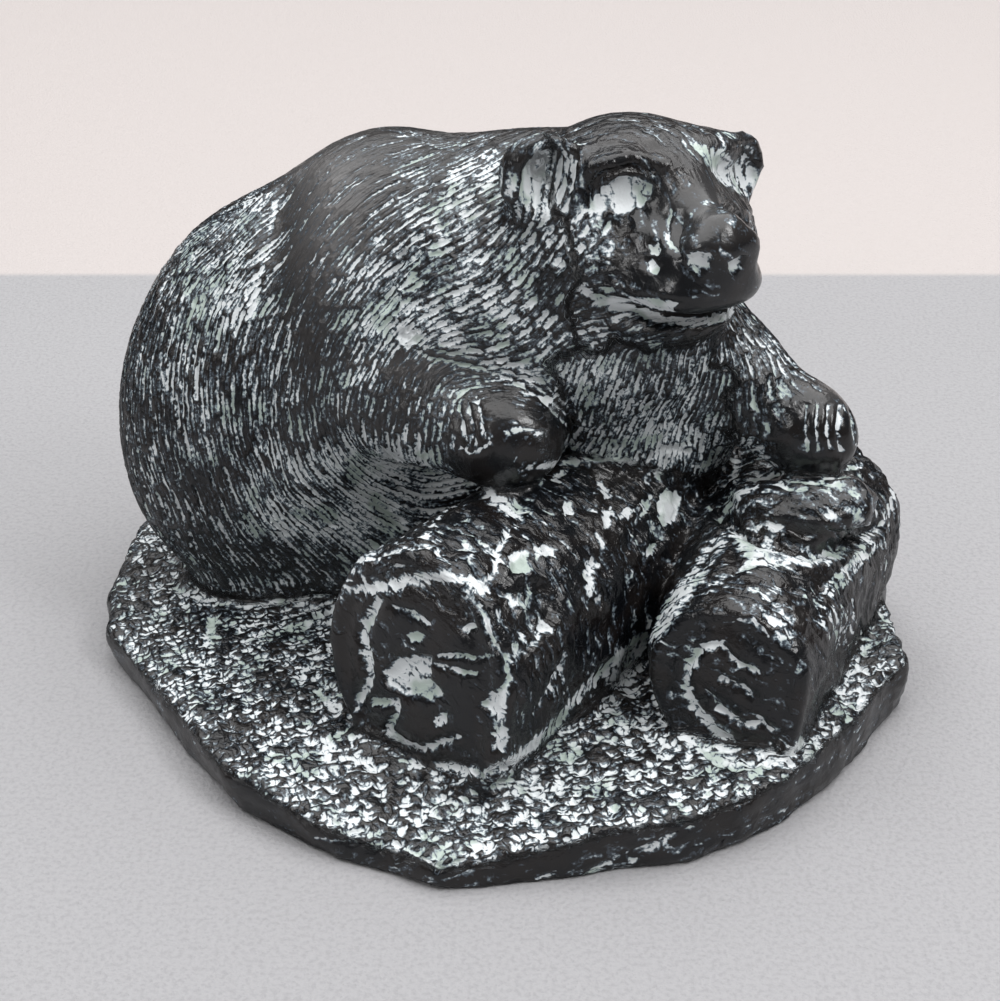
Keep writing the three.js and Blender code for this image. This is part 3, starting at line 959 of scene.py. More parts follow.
@dataclass(frozen=True)
class Log:
    """One of the two logs: a cut end towards the viewer, and bark behind it."""

    end: Point
    yaw: float
    radius: float
    radius_behind: float
    length: float

    def local(self, points: np.ndarray) -> tuple[np.ndarray, np.ndarray, np.ndarray]:
        """Measures points sideways, along and upwards from the middle of the cut end."""
        turn = math.radians(self.yaw)
        away = points - np.array(self.end)
        sideways = away[:, 0] * math.cos(turn) - away[:, 1] * math.sin(turn)
        along = away[:, 0] * math.sin(turn) + away[:, 1] * math.cos(turn)
        return sideways, along, away[:, 2]

    def share(self, points: np.ndarray) -> np.ndarray:
        """1 on the log and 0 elsewhere."""
        sideways, along, rise = self.local(points)
        radius = self.radius + (self.radius_behind - self.radius) * np.clip(along / self.length, 0, 1)
        out = np.hypot(sideways, np.where(rise > 0, rise, 0.8 * rise)) - radius
        end = smooth(-4.5, -3.5, along) * smooth(self.length + 4, self.length + 3, along)
        side = smooth(2.6, 1.8, out)
        deep = np.where(along < 6, 1.0, smooth(-6, -4, out))
        return end * side * deep

    def way(self) -> np.ndarray:
        """The direction in which the log runs back."""
        turn = math.radians(self.yaw)
        return np.array([math.sin(turn), math.cos(turn), 0.0])


@dataclass(frozen=True)
class Timber:
    """The two logs and the stub of a branch on the right-hand one."""

    left: Log = Log((-14.8, -42.5, 29.5), 38, 21.5, 19, 72)
    right: Log = Log((42.2, -42.0, 25.0), 19, 14.8, 22, 67)
    stub: Egg = Egg((59.7, -8.0, 42.5), (16.0, 10.0, 7.0), -6)
    end_lie: Point = (1.0, 0.0, -0.4)
    lump: float = 4.4
    lump_depth: float = 1.4
    facet: float = 9.0
    facet_depth: float = 1.0
    chips: tuple[Pixel, ...] = ((2.9, 0.2), (1.5, 0.3))
    chip_edge: float = 0.52
    chip_wash: float = 1.15
    left_bark_groove: Mark = cut(9, 1.3, (377, 602), (361, 632), (366, 661), (368, 680), (354, 709), wash=0.85)
    left_top_groove: Mark = cut(4, 0.5, (393, 607), (410, 612), (428, 624), wash=0.7)
    left_brim: Mark = smear(9, 0.85, (350, 590), (380, 588), (410, 580), (440, 576), (470, 580), (486, 590))
    left_eye_ridge: Mark = cut(2, 0.5, (378, 558), (400, 548), (428, 548), (456, 560), wash=0.6)
    left_eye_ridge_below: Mark = cut(2, 0.5, (382, 564), (405, 566), (426, 564), wash=0.55)
    left_end_top_spot: Mark = hollow(4, 0.4, (406, 636), (416, 631), (426, 636), (420, 643), (410, 641), wash=0.85)
    left_end_patch: Mark = hollow(
        8, 1.1, (382, 674), (398, 660), (412, 656), (430, 656), (428, 677), (444, 695), (430, 700), (404, 696),
        (390, 688), wash=0.76
    )
    left_end_crack: Mark = cut(5, 0.8, (439, 656), (456, 655), (473, 658), wash=0.95)
    left_end_crack_right: Mark = cut(4, 0.5, (479, 657), (492, 656), wash=0.7)
    left_end_crack_below: Mark = cut(4, 0.6, (433, 664), (460, 672), (476, 674), wash=0.85)
    left_end_groove: Mark = cut(
        7, 1.2, (372, 701), (384, 703), (396, 702), (394, 716), (385, 731), (398, 741), (420, 751), (448, 741), wash=0.9
    )
    left_end_spots: tuple[Mark, ...] = (
        hollow(3, 0.4, (430, 724), (438, 714), (448, 711), (446, 722), (436, 729), wash=0.85),
        hollow(3, 0.4, (452, 739), (458, 734), (463, 736), (457, 742), wash=0.8),
        hollow(3, 0.4, (462, 630), (470, 624), (476, 626), (468, 634), wash=0.85),
    )
    left_corner: Mark = cut(6, 0.9, (481, 605), (485, 622), (489, 640), (507, 656), (511, 684), wash=0.85)
    left_corner_patch: Mark = hollow(5, 0.8, (481, 703), (495, 690), (508, 678), (509, 752), (492, 752), (495, 717), wash=0.8)
    left_flank_scoop: Mark = hollow(14, 1.3, (500, 590), (530, 578), (560, 590), (556, 620), (530, 640), (505, 625))
    left_flank_lines: tuple[Mark, ...] = (
        cut(5, 0.7, (545, 628), (538, 640), (525, 652), wash=0.5),
        cut(5, 0.7, (560, 668), (548, 695), (535, 715), wash=0.45),
    )
    left_shoulder_line: Mark = cut(6, 0.9, (508, 535), (498, 550), (497, 565), (487, 586), wash=0.85)
    left_top_streaks: tuple[Mark, ...] = rake(2, (22, 3), smear(3.5, 0.8, (404, 532), (420, 510), (436, 492)))
    left_chips: tuple[Mark, ...] = (
        hollow(3, 0.5, (508, 556), (520, 548), (529, 552), (526, 572), (513, 573), wash=0.95),
        hollow(3, 0.5, (533, 548), (545, 543), (558, 549), (553, 556), (541, 556), (537, 561), wash=0.95),
        hollow(8, 0.4, (486, 502), (500, 494), (530, 508), (528, 518), (500, 514), wash=0.6),
        hollow(3, 0.5, (562, 500), (572, 502), (575, 512), (566, 515), wash=0.95),
        hollow(3, 0.5, (659, 494), (668, 486), (682, 500), (676, 520), (662, 528), (657, 512), wash=0.95),
        hollow(3, 0.5, (620, 512), (630, 505), (636, 510), (628, 522), wash=0.95),
        hollow(3, 0.5, (603, 510), (611, 508), (610, 528), (604, 530), wash=0.9),
        hollow(3, 0.5, (596, 478), (604, 480), (612, 495), (605, 500), wash=0.9),
        hollow(3, 0.5, (641, 500), (651, 499), (649, 512), (643, 515), wash=0.9),
        hollow(3, 0.5, (648, 545), (656, 543), (655, 556), (649, 556), wash=0.9),
        hollow(3, 0.4, (551, 478), (560, 470), (565, 474), (558, 482), wash=0.9),
        hollow(3, 0.4, (586, 560), (594, 556), (592, 590), (587, 588), wash=0.7),
        hollow(3, 0.4, (500, 530), (510, 528), (514, 536), (504, 538), wash=0.85),
    )
    right_end_arc: Mark = cut(8, 1.1, (700, 651), (688, 664), (684, 680), (691, 703), (714, 731), (742, 750), wash=0.85)
    right_end_lines: tuple[Mark, ...] = (
        cut(5, 0.7, (703, 646), (721, 644), (733, 661), (757, 672), wash=0.85),
        cut(5, 0.7, (721, 679), (743, 688), (754, 698), wash=0.8),
        cut(7, 0.7, (719, 708), (743, 727), (762, 724), wash=0.8),
        cut(4, 0.5, (757, 718), (771, 730), wash=0.9),
        cut(4, 0.5, (706, 690), (718, 706), (732, 716), wash=0.6),
        cut(2.5, 0.3, (724, 623), (740, 620), wash=0.8),
        cut(3, 0.4, (752, 618), (762, 626), (769, 636), wash=0.9),
    )
    # Painted highlights: a pale patch where reflections sparkle on the right log's rim.
    right_sparkles: Mark = hollow(8, 0.3, (765, 604), (784, 608), (796, 630), (790, 646), (776, 642), (768, 622), wash=0.4)
    right_back_lines: tuple[Mark, ...] = rake(3, (-14, 8), smear(4, 0.75, (880, 545), (862, 562), (846, 584)))
    right_flank_lines: tuple[Mark, ...] = rake(5, (10, 4), smear(2.5, 0.75, (812, 596), (822, 618), (830, 640)))
    right_shelf: Mark = hollow(
        8, 0.3, (724, 520), (750, 534), (785, 543), (812, 550), (845, 545), (868, 531), (850, 556), (812, 566),
        (770, 560), (738, 545), wash=0.8
    )
    right_shelf_line: Mark = smear(4, 0.8, (738, 567), (755, 565), (771, 560))
    right_edge_line: Mark = smear(5, 0.75, (896, 490), (882, 528), (860, 553), (838, 575))
    stub_roll: Mark = swell(
        16, 2.2, (732, 492), (775, 486), (850, 480), (872, 498), (864, 522), (820, 528), (775, 522), (738, 508)
    )
    stub_shadow: Mark = cut(12, 2.6, (716, 514), (746, 532), (785, 544), (812, 551), (848, 546), (878, 528))
    stub_lines: tuple[Mark, ...] = (
        cut(4, 0.5, (752, 479), (785, 472), (823, 470), (861, 467), wash=0.85),
        cut(4, 0.5, (738, 487), (773, 484), (790, 497), (806, 495), wash=0.8),
        cut(4, 0.5, (795, 484), (805, 490), (822, 489), wash=0.8),
        smear(3, 0.75, (836, 481), (846, 484), (852, 480)),
        smear(3, 0.75, (730, 509), (752, 498)),
        cut(4, 0.4, (778, 504), (800, 508), (830, 500), (856, 497)),
        cut(4, 0.4, (776, 512), (806, 517), (836, 513)),
    )

    def carve(self, clay: Clay, on_timber: np.ndarray, wash: np.ndarray) -> None:
        """Works bark, chips and cut ends into the skin.

        Args:
            clay: The skin.
            on_timber: True on the logs and the stub.
            wash: How much wash each point holds.
        """
        chosen = np.flatnonzero(on_timber)
        points = clay.points[chosen]
        bark = np.maximum.reduce([smooth(2.5, 5, each.local(points)[1]) for each in (self.left, self.right)])
        on_ends = np.minimum.reduce([
            np.where(each.share(points) > 0.3, smooth(3, 5.5, each.local(points)[1]), 1.0)
            for each in (self.left, self.right)
        ])
        bark = np.minimum(bark, on_ends)
        warped = points + 0.9 * np.stack([clay.grain.at(points + s, 4.0) for s in (0, 30, 60)], axis=1)
        lump, _ = clay.grain.cells(warped, self.lump)
        facet, _ = clay.grain.cells(warped + 40, self.facet)
        flank = smooth(38, 30, points[:, 2])
        height = np.zeros(len(clay.points))
        bumps = self.lump_depth * (0.35 - lump**2 * 1.1) * (1 - 0.75 * flank)
        scoops = self.facet_depth * (facet**2 * 1.6 - 0.35) * (0.3 + 0.7 * flank)
        height[chosen] = bark * (1 - self.stub.inside(points, 0.1)) * (bumps + scoops)
        clay.push(height)
        for size, share in self.chips:
            distance, luck = clay.grain.cells(warped * np.array([1.0, 1.0, 0.8]) + 90 * size, size)
            chip = self.chip_wash * bark * smooth(self.chip_edge, 0.2, distance) * (luck < share) * (1 - 0.75 * flank)
            wash[chosen] = np.maximum(wash[chosen], chip)
        clay.touch(marks_of(self), on_timber, wash, rough=2.0)

    def tool(self, clay: Clay, tooling: Tooling, on_timber: np.ndarray) -> None:
        """Sets how the bark, the cut ends and the stub are tooled.

        Args:
            clay: The skin.
            tooling: What is set.
            on_timber: 1 on the logs and the stub, and 0 elsewhere.
        """
        flank = smooth(38, 30, clay.points[:, 2])
        for each in (self.left, self.right):
            on_log = on_timber * each.share(clay.points)
            girth = along_skin(np.cross(each.way(), clay.normals), clay.normals)
            tooling.change(on_log, girth, pitch=1.8, length=5.0, depth=0.6, wash=0.08, fine=1.0, stray=0.5)
            tooling.change(on_log * flank, pitch=1.9, length=7.0, depth=0.4, wash=-0.05)
            end = on_log * smooth(3.5, 1.5, each.local(clay.points)[1])
            level = along_skin(np.tile(self.end_lie, (len(clay.points), 1)), clay.normals)
            tooling.change(end, level, pitch=1.9, length=6.0, depth=0.15, wash=-0.15, fine=0.4, stray=0.8)
        stub = on_timber * self.stub.inside(clay.points, 0.1)
        stub_lie = along_skin(np.tile(np.array([1.0, -0.1, 0.0]), (len(clay.points), 1)), clay.normals)
        tooling.change(stub, stub_lie, pitch=1.5, length=9.0, depth=0.4, wash=0.15, fine=0.8, stray=0.4)


@dataclass(frozen=True)
class Rock:
    """The slab: stippled on top, broken off in flat scoops round its side."""

    top: float = 10.5
    rise: float = 0.02
    bank: Point = (-1.0, -57.0, 10.0)
    bank_reach: float = 9.0
    bank_height: float = 5.0
    scoop: float = 16.0
    scoop_depth: float = 1.3
    lie: Point = (1.0, 0.5, -0.2)
    pit: float = 2.5
    pit_edge: float = 0.72
    pit_depth: float = 1.1
    pit_wash: float = 1.42
    calm: float = 0.5
    foot_seam: Mark = cut(5, 0.5, (176, 588), (200, 598), (247, 606), (299, 600), (346, 589), wash=0.6)
    notch: Mark = hollow(4, 0.5, (208, 618), (218, 616), (213, 640), (206, 648), (201, 644), wash=0.9)
    slope_lines: tuple[Mark, ...] = (
        cut(3, 0.4, (242, 641), (273, 633), (331, 612), wash=0.75),
        cut(3, 0.4, (262, 625), (300, 612), (345, 597), wash=0.6),
        smear(3, 0.8, (299, 668), (323, 666)),
    )
    wedge: Mark = hollow(4, 0.5, (312, 686), (322, 690), (344, 706), (340, 713), (326, 706), wash=0.9)
    side_scars: tuple[Mark, ...] = (
        cut(4, 0.3, (580, 878), (623, 856), (660, 840), (692, 827), wash=0.5),
        cut(6, 0.3, (612, 871), (632, 862), (652, 849), (676, 834), wash=0.52),
        cut(3, 0.3, (525, 884), (545, 878), (556, 872), wash=0.55),
    )
    edge_lines: tuple[Mark, ...] = (
        cut(2.5, 0.4, (391, 843), (410, 850), (428, 862), (443, 868), (462, 860), (482, 846), wash=0.85),
        cut(2.5, 0.3, (352, 820), (366, 832), (384, 840), wash=0.7),
        cut(2.5, 0.3, (315, 838), (340, 842), (352, 840), wash=0.5),
    )

    def level(self, points: np.ndarray) -> np.ndarray:
        """Height of points above the slab's top."""
        return points[:, 2] - (self.top + self.rise * points[:, 0] + self.bank_height * self.banked(points))

    def banked(self, points: np.ndarray) -> np.ndarray:
        """1 on the bank below the left log's corner, falling to 0 round it."""
        away = (points[:, :2] - np.array(self.bank[:2])) / self.bank_reach
        return np.exp(-np.sum(away * away, axis=1))

    def tool(self, clay: Clay, tooling: Tooling, on_top: np.ndarray, on_side: np.ndarray) -> None:
        """Sets how the slab is tooled.

        Args:
            clay: The skin.
            tooling: What is set.
            on_top: 1 on the slab's top and 0 elsewhere.
            on_side: 1 on the slab's side and 0 elsewhere.
        """
        lie = along_skin(np.tile(self.lie, (len(clay.points), 1)), clay.normals)
        tooling.change(on_top, lie, pitch=1.5, length=1.8, depth=0.4, wash=0.24, fine=1.0, stray=0.8)
        tooling.change(on_side, lie, pitch=2.6, length=7.0, depth=0.25, wash=0.06, fine=0.3, stray=0.5)

    def carve(self, clay: Clay, on_top: np.ndarray, on_side: np.ndarray, wash: np.ndarray) -> None:
        """Breaks flat scoops off the slab's side and picks its top full of pits.

        Args:
            clay: The skin.
            on_top: 1 on the top of the slab and 0 elsewhere.
            on_side: 1 on the side of the slab and 0 elsewhere.
            wash: How much wash each point holds.
        """
        chosen = np.flatnonzero(on_side > 0.01)
        points = clay.points[chosen] * np.array([1.0, 1.0, 0.6])
        distance, _ = clay.grain.cells(points, self.scoop)
        height = np.zeros(len(clay.points))
        height[chosen] = on_side[chosen] * self.scoop_depth * (distance**2 * 1.5 - 0.5)
        clay.push(height)
        chosen = np.flatnonzero(on_top > 0.01)
        points = clay.points[chosen]
        warped = points + 0.5 * np.stack([clay.grain.at(points + shift, 2.5) for shift in (10, 40, 70)], axis=1)
        distance, luck = clay.grain.cells(warped, self.pit)
        smoother = smooth(-20, -60, points[:, 0])
        pit = smooth(self.pit_edge, 0.1, distance) * (1 - self.calm * smoother)
        height = np.zeros(len(clay.points))
        height[chosen] = on_top[chosen] * self.pit_depth * (0.3 - pit)
        clay.push(height)
        wash[chosen] += on_top[chosen] * self.pit_wash * pit * (0.45 + 0.55 * luck)


@dataclass(frozen=True)
class Seams:
    """Wash that has gathered where the forms meet."""

    belly_foot: Mark = smear(9, 0.55, (340, 600), (352, 572), (385, 540), (402, 518))
    between_logs: Mark = smear(16, 0.62, (718, 545), (692, 578), (670, 612), (642, 645), (614, 680))
    left_log_foot: Mark = smear(8, 0.8, (440, 766), (484, 773), (515, 760), (551, 730), (578, 697), (610, 665), (640, 638))
    right_log_foot: Mark = smear(7, 0.85, (682, 735), (719, 762), (752, 769), (785, 759), (802, 742))
    below_paw: Mark = smear(5, 0.85, (520, 470), (575, 461), (600, 459), (635, 462))
    chest_foot: Mark = cut(4, 0.5, (655, 460), (664, 448), (690, 452), wash=0.8)
    foreleg_streak: Mark = smear(5, 0.8, (737, 462), (733, 485), (726, 512))
    stub_root: Mark = smear(5, 0.8, (740, 548), (752, 552), (748, 560))
    crease: Mark = cut(14, 0.4, (285, 190), (272, 230), (262, 270), (255, 310), (250, 350), (256, 400), (262, 440))
    crease_wash: Mark = smear(4, 0.7, (276, 200), (268, 240), (256, 285), (248, 330))


class Part(Enum):
    """What a point of the skin belongs to."""

    BEAR = 0
    TIMBER = 1
    ROCK_TOP = 2
    ROCK_SIDE = 3
    UNDERSIDE = 4


class Net:
    """Builds a material's nodes."""

    def __init__(self, material: bpy.types.Material) -> None:
        """Takes up a new material.

        Args:
            material: The material, with nothing but its shader.
        """
        material.use_nodes = True
        self.tree = material.node_tree
        self.shader = self.tree.nodes["Principled BSDF"]
        self.place = self.tree.nodes.new("ShaderNodeTexCoord").outputs["Object"]

    def plug(self, socket: bpy.types.NodeSocket, value: Feed) -> None:
        """Gives a socket a constant or another node's result."""
        if isinstance(value, bpy.types.NodeSocket):
            self.tree.links.new(value, socket)
        else:
            socket.default_value = value

    def noise(self, scale: float, detail: float = 2.0, vector: Feed | None = None) -> bpy.types.NodeSocket:
        """Noise with lumps of 1/scale metres, or 1/scale of another vector's units."""
        node = self.tree.nodes.new("ShaderNodeTexNoise")
        node.inputs["Scale"].default_value = scale
        node.inputs["Detail"].default_value = detail
        self.plug(node.inputs["Vector"], vector or self.place)
        return node.outputs["Fac"]

    def parts(self, vector: Feed) -> list[bpy.types.NodeSocket]:
        """A vector's three numbers."""
        node = self.tree.nodes.new("ShaderNodeSeparateXYZ")
        self.plug(node.inputs["Vector"], vector)
        return list(node.outputs)

    def stretch(self, vector: Feed, scale: Point) -> bpy.types.NodeSocket:
        """A vector with each of its numbers multiplied."""
        node = self.tree.nodes.new("ShaderNodeVectorMath")
        node.operation = "MULTIPLY"
        self.plug(node.inputs[0], vector)
        node.inputs[1].default_value = scale
        return node.outputs["Vector"]

    def stored(self, name: str, output: str = "Fac") -> bpy.types.NodeSocket:
        """A value that was kept on the mesh."""
        node = self.tree.nodes.new("ShaderNodeAttribute")
        node.attribute_name = name
        return node.outputs[output]

    def sum(self, kind: str, *values: Feed) -> bpy.types.NodeSocket:
        """A sum, such as ADD or MULTIPLY_ADD."""
        node = self.tree.nodes.new("ShaderNodeMath")
        node.operation = kind
        for socket, value in zip(node.inputs, values):
            self.plug(socket, value)
        return node.outputs["Value"]

    def span(self, value: Feed, low: float, high: float, start: float = 0.0, end: float = 1.0):
        """Maps a value smoothly from low..high to start..end."""
        node = self.tree.nodes.new("ShaderNodeMapRange")
        node.interpolation_type = "SMOOTHSTEP"
        for name, number in zip(("Value", "From Min", "From Max", "To Min", "To Max"), (value, low, high, start, end)):
            self.plug(node.inputs[name], number)
        return node.outputs["Result"]

    def blend(self, share: Feed, first: Feed, second: Feed) -> bpy.types.NodeSocket:
        """A blend of two colours."""
        node = self.tree.nodes.new("ShaderNodeMix")
        node.data_type = "RGBA"
        for socket, value in zip((node.inputs[0], node.inputs[6], node.inputs[7]), (share, first, second)):
            self.plug(socket, value)
        return node.outputs[2]

    def relief(self, height: Feed, distance: float, strength: float = 1.0) -> None:
        """Gives the shader a bump of the distance in metres."""
        node = self.tree.nodes.new("ShaderNodeBump")
        node.inputs["Strength"].default_value = strength
        node.inputs["Distance"].default_value = distance
        self.plug(node.inputs["Height"], height)
        self.plug(self.shader.inputs["Normal"], node.outputs["Normal"])


@dataclass(frozen=True)
class BlackWash:
    """The finish: gloss black, with a pale wash left in the hollows and wiped off the ridges, and a painted sheen of
    grey on some smooth parts.
    """

    black: Colour = (0.004, 0.0045, 0.0058, 1.0)
    # Painted sheen: the grey that stands in for the ceiling light's reflection on smooth black.
    sheen_grey: Colour = (0.11, 0.106, 0.106, 1.0)
    brown: Colour = (0.0085, 0.007, 0.0068, 1.0)
    veil: Colour = (0.045, 0.056, 0.07, 1.0)
    grey: Colour = (0.21, 0.26, 0.29, 1.0)
    white: Colour = (0.68, 0.71, 0.725, 1.0)
    green: Colour = (0.4, 0.47, 0.43, 1.0)
    refraction: float = 1.48
    gloss: float = 0.25
    matt: float = 0.5
    stroke_height: float = 0.00018
    grain_height: float = 0.2
    raggedness: float = 0.2
    streaks: Point = (1.3, 2.6, 1.0)
    streaky: float = 0.26
    patchiness: float = 0.16
    grit: float = 0.2

    def material(self) -> bpy.types.Material:
        """Builds the finish.

        Returns:
            The material.
        """
        made = bpy.data.materials.new("black_cast_stone")
        net = Net(made)
        strokes = net.stored("strokes", "Vector")
        along, across = net.parts(strokes)[:2]
        ragged = net.span(net.noise(900.0), 0.25, 0.75, -self.raggedness, self.raggedness)
        groove = Shingles().groove(net.sum, along, net.sum("ADD", across, ragged))
        streak = net.span(net.noise(1.0, 3.0, net.stretch(strokes, self.streaks)), 0.3, 0.7, -self.streaky, self.streaky)
        broad = net.noise(130.0)
        patchy = net.span(net.noise(75.0), 0.3, 0.7, -1 - self.patchiness, -1 + self.patchiness)
        cover = net.sum("ADD", net.stored("wash"), net.sum("ADD", patchy, streak))
        grit = net.span(net.noise(1500.0, 3.0), 0.3, 0.7, -self.grit, self.grit)
        level = net.sum("ADD", groove, net.sum("ADD", cover, grit))
        pale = net.blend(net.span(broad, 0.5, 0.62), self.white, self.green)
        body = net.blend(net.span(broad, 0.42, 0.58), self.brown, self.black)
        # Mixes in the painted sheen, a grey standing in for the ceiling light's reflection, where the mesh asks for it.
        body = net.blend(net.stored("painted_sheen"), body, self.sheen_grey)
        colour = net.blend(net.span(level, -0.34, 0.0), body, self.veil)
        colour = net.blend(net.span(level, -0.06, 0.16), colour, self.grey)
        colour = net.blend(net.span(level, 0.08, 0.32), colour, pale)
        net.plug(net.shader.inputs["Base Color"], colour)
        net.plug(net.shader.inputs["Roughness"], net.span(level, 0.0, 0.25, self.gloss, self.matt))
        lines = net.sum("MULTIPLY", net.sum("ADD", groove, streak), net.stored("fine"))
        height = net.sum("SUBTRACT", net.sum("MULTIPLY", net.noise(1400.0, 1.0), self.grain_height), lines)
        net.relief(height, self.stroke_height)
        net.shader.inputs["IOR"].default_value = self.refraction
        return made


@dataclass
class Figurine:
    """The whole casting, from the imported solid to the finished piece."""

    portrait: Portrait
    box: Box
    coat: Coat = field(default_factory=Coat)
    head: Head = field(default_factory=Head)
    forelegs: Forelegs = field(default_factory=Forelegs)
    timber: Timber = field(default_factory=Timber)
    rock: Rock = field(default_factory=Rock)
    seams: Seams = field(default_factory=Seams)
    finish: BlackWash = field(default_factory=BlackWash)
    grain: float = 0.75
    even_rounds: int = 14
    mean_groove: float = 0.4
    triangles: int = 197000

    def build(self, solid: bpy.types.Object) -> bpy.types.Object:
        """Makes the dressed piece.

        Args:
            solid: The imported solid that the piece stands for.

        Returns:
            The finished piece.
        """
        piece = self.blank(solid)
        clay = Clay(piece, self.portrait, self.box)
        clay.relax(np.full(len(clay.points), 0.5), self.even_rounds)
        log.info("%s: even skin of %d points", piece.name, len(clay.points))
        self.lay_out(clay)
        log.info("%s: strokes counted", piece.name)
        self.refine(piece)
        clay.load()
        log.info("%s: fine skin of %d points", piece.name, len(clay.points))
        self.carve(clay)
        log.info("%s: carved", piece.name)
        self.thin(piece)
        clay.load()
        clay.save()
        self.dress(piece)
        return piece

    def blank(self, solid: bpy.types.Object) -> bpy.types.Object:
        """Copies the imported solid, merges its loose triangles and gives it an even skin.

        Args:
            solid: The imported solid.

        Returns:
            The copy.
        """
        bpy.ops.object.select_all(action="DESELECT")
        piece = solid.copy()
        piece.data = solid.data.copy()
        piece.name = PIECE
        piece.parent = None
        for key in list(piece.keys()):
            del piece[key]
        bpy.context.scene.collection.objects.link(piece)
        bpy.context.view_layer.objects.active = piece
        piece.select_set(True)
        bpy.ops.object.mode_set(mode="EDIT")
        bpy.ops.mesh.select_all(action="SELECT")
        bpy.ops.mesh.remove_doubles(threshold=1e-7)
        bpy.ops.object.mode_set(mode="OBJECT")
        skin = piece.modifiers.new("skin", "REMESH")
        skin.mode = "VOXEL"
        skin.voxel_size = self.grain * MM
        bpy.ops.object.modifier_apply(modifier=skin.name)
        return piece

    def refine(self, piece: bpy.types.Object) -> None:
        """Halves the distance between the points, and what is kept on them goes along."""
        finer = piece.modifiers.new("finer", "SUBSURF")
        finer.levels = finer.render_levels = 1
        bpy.ops.object.modifier_apply(modifier=finer.name)

    def parts(self, clay: Clay) -> dict[Part, np.ndarray]:
        """Tells what each point of the skin belongs to.

        Args:
            clay: The skin.

        Returns:
            For each part, 1 on it and 0 elsewhere.
        """
        points = clay.points
        level = self.rock.level(points)
        logs = np.maximum(self.timber.left.share(points), self.timber.right.share(points))
        timber = np.maximum(logs, self.timber.stub.inside(points, 0.1))
        rock = smooth(2.6, 1.4, level)
        upward = np.maximum(smooth(0.35, 0.6, clay.normals[:, 2]), smooth(0.3, 0.6, self.rock.banked(points)))
        underside = smooth(-0.7, -0.9, clay.normals[:, 2]) * smooth(2, 1, points[:, 2])
        return {
            Part.TIMBER: timber * (1 - rock),
            Part.ROCK_TOP: rock * upward,
            Part.ROCK_SIDE: rock * (1 - upward) * (1 - underside),
            Part.UNDERSIDE: underside,
            Part.BEAR: (1 - timber) * (1 - rock),
        }

    def lay_out(self, clay: Clay) -> None:
        """Settles how every point is tooled, counts the strokes and keeps both on the mesh.

        Args:
            clay: The skin, not carved yet.
        """
        parts = self.parts(clay)
        lie, group = self.coat.comb(clay, self.surface(clay))
        tooling = self.coat.tooling(clay, lie)
        self.rock.tool(clay, tooling, parts[Part.ROCK_TOP], parts[Part.ROCK_SIDE])
        self.timber.tool(clay, tooling, parts[Part.TIMBER])
        self.head.tool(clay, tooling)
        self.forelegs.tool(clay, tooling)
        tooling.change(parts[Part.UNDERSIDE], depth=0.0, wash=0.0, fine=0.3)
        body = np.argmax([parts[part] for part in Part], axis=0)
        on_bear = body == Part.BEAR.value
        region = np.where(on_bear, group, len(self.coat.guides) + body)
        side = np.where(on_bear & (clay.points[:, 1] > self.coat.mirror_plane), -1, 1)
        clay.store("strokes", StrokeCount().count(clay, tooling, region, side))
        first, second = clay.edges.T
        border = np.zeros(len(region))
        border[clay.edges[region[first] != region[second]].ravel()] = 1
        tooling.change(border, depth=0.2, wash=-0.1)
        for name in ("depth", "wash", "fine", "painted_sheen"):
            clay.store(name, getattr(tooling, name))

    def carve(self, clay: Clay) -> None:
        """Carves the whole figure: the broad touches first, then the strokes, then the seams.

        Args:
            clay: The skin.
        """
        parts = self.parts(clay)
        on_bear = parts[Part.BEAR] > 0.5
        on_rock = parts[Part.ROCK_TOP] + parts[Part.ROCK_SIDE] > 0.5
        strokes, depth, wash, fine, painted_sheen = (clay.take(name) for name in ("strokes", "depth", "wash", "fine", "painted_sheen"))
        self.rock.carve(clay, parts[Part.ROCK_TOP], parts[Part.ROCK_SIDE], wash)
        self.timber.carve(clay, parts[Part.TIMBER] > 0.4, wash)
        self.head.carve(clay, wash)
        self.forelegs.carve(clay, on_bear, wash)
        groove = Shingles().groove(on_arrays, strokes[:, 0], strokes[:, 1])
        clay.push(depth * (self.mean_groove - groove))
        clay.touch(marks_of(self.rock), on_rock, wash)
        clay.touch(marks_of(self.seams), parts[Part.UNDERSIDE] < 0.5, wash, rough=2.5)
        clay.store("strokes", strokes)
        clay.store("wash", wash)
        clay.store("fine", fine)
        clay.store("painted_sheen", painted_sheen)

    def surface(self, clay: Clay) -> BVHTree:
        """The skin as a tree that lines of sight can be traced against, in millimetres."""
        faces = [tuple(polygon.vertices) for polygon in clay.piece.data.polygons]
        return BVHTree.FromPolygons([Vector(point) for point in clay.points], faces)

    def thin(self, piece: bpy.types.Object) -> None:
        """Thins the carved skin to the number of triangles that the piece may have."""
        faces = sum(len(polygon.vertices) - 2 for polygon in piece.data.polygons)
        thinner = piece.modifiers.new("thinner", "DECIMATE")
        thinner.ratio = min(1.0, self.triangles / faces)
        thinner.use_collapse_triangulate = True
        bpy.ops.object.modifier_apply(modifier=thinner.name)
        log.info("%s: %d triangles", piece.name, len(piece.data.polygons))

    def dress(self, piece: bpy.types.Object) -> None:
        """Gives the piece its finish, hangs it on the root body and hides the imported solid."""
        bpy.ops.object.shade_smooth()
        piece.data.materials.clear()
        piece.data.materials.append(self.finish.material())
        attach(piece, "root")
        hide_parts(NODE)


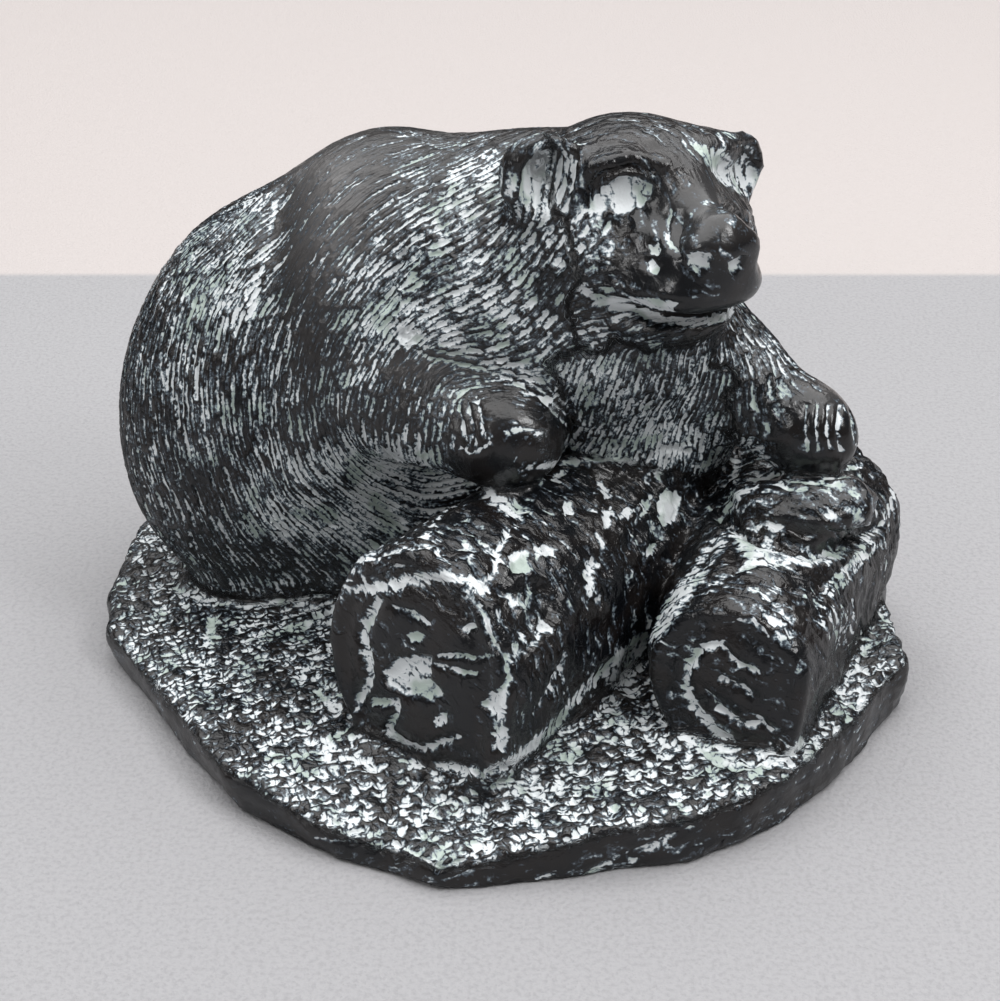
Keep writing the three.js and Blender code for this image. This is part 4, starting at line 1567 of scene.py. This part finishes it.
@dataclass(frozen=True)
class Studio:
    """A sheet of grey felt on a pale table, under soft light."""

    table_size: float = 6.0
    felt: Colour = (0.334, 0.331, 0.341, 1.0)
    felt_shade: Colour = (0.3, 0.297, 0.306, 1.0)
    table: Colour = (0.46, 0.425, 0.415, 1.0)
    felt_ends: float = 0.205
    sky: Colour = (1.0, 0.98, 0.97, 1.0)
    sky_strength: float = 0.12

    def floor(self) -> None:
        """Lays the table, with the felt on it."""
        bpy.ops.object.select_all(action="DESELECT")
        bpy.ops.mesh.primitive_plane_add(size=self.table_size)
        floor = bpy.context.object
        floor.name = "floor"
        made = bpy.data.materials.new("felt")
        net = Net(made)
        beyond = net.span(net.parts(net.place)[1], self.felt_ends - 0.002, self.felt_ends + 0.002)
        fibre = net.noise(1000.0, 3.0)
        felt = net.blend(net.span(fibre, 0.3, 0.6), self.felt_shade, self.felt)
        net.plug(net.shader.inputs["Base Color"], net.blend(beyond, felt, self.table))
        net.shader.inputs["Roughness"].default_value = 0.95
        net.shader.inputs["Specular IOR Level"].default_value = 0.1
        net.relief(fibre, 0.0005)
        floor.data.materials.append(made)
        floor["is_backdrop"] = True

    def light(self, name: str, place: Point, size: Pixel, radiance: float, target: Point = (0, 0, 0.04)) -> None:
        """Hangs a soft light that faces a target.

        Args:
            name: The light's name.
            place: Where it hangs, in metres.
            size: Its width and height, in metres.
            radiance: How bright its face is; white felt in full light is about 1.
            target: What it faces.
        """
        data = bpy.data.lights.new(name, "AREA")
        data.shape = "RECTANGLE"
        data.size, data.size_y = size
        data.energy = math.pi * size[0] * size[1] * radiance
        lamp = bpy.data.objects.new(name, data)
        lamp.location = place
        lamp.rotation_euler = (Vector(target) - Vector(place)).to_track_quat("-Z", "Y").to_euler()
        bpy.context.scene.collection.objects.link(lamp)

    def build(self) -> None:
        """Lays the floor, and hangs the lights."""
        self.floor()
        world = bpy.data.worlds.new("studio")
        world.use_nodes = True
        sky = world.node_tree.nodes["Background"]
        sky.inputs["Color"].default_value = self.sky
        sky.inputs["Strength"].default_value = self.sky_strength
        bpy.context.scene.world = world
        bpy.context.scene.view_settings.view_transform = "Standard"
        self.light("ceiling", (0, 0.35, 1.1), (2.2, 1.9), 3.1, (0, 0.35, 0))
        self.light("window", (0.42, -0.3, 0.55), (0.2, 0.2), 14.0)
        self.light("left", (-0.5, -0.65, 0.5), (0.22, 0.22), 10.0)


def box_numbers() -> Box:
    """The whole object's box as plain numbers."""
    return [list(corner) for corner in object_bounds()]


def main() -> None:
    """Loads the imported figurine, dresses it and sets up the portrait."""
    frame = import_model()
    solid_box = box_numbers()
    portrait = Portrait()
    portrait.add_camera()
    figurine = Figurine(portrait, solid_box)
    piece = figurine.build(frame["nodes"][NODE])
    log.info("%s stands for %s", piece.name, NODE)
    Studio().build()
    log.info("studio ready")


if __name__ == "__main__":
    logging.basicConfig(level=logging.INFO, format="%(relativeCreated)6d %(message)s")
    main()
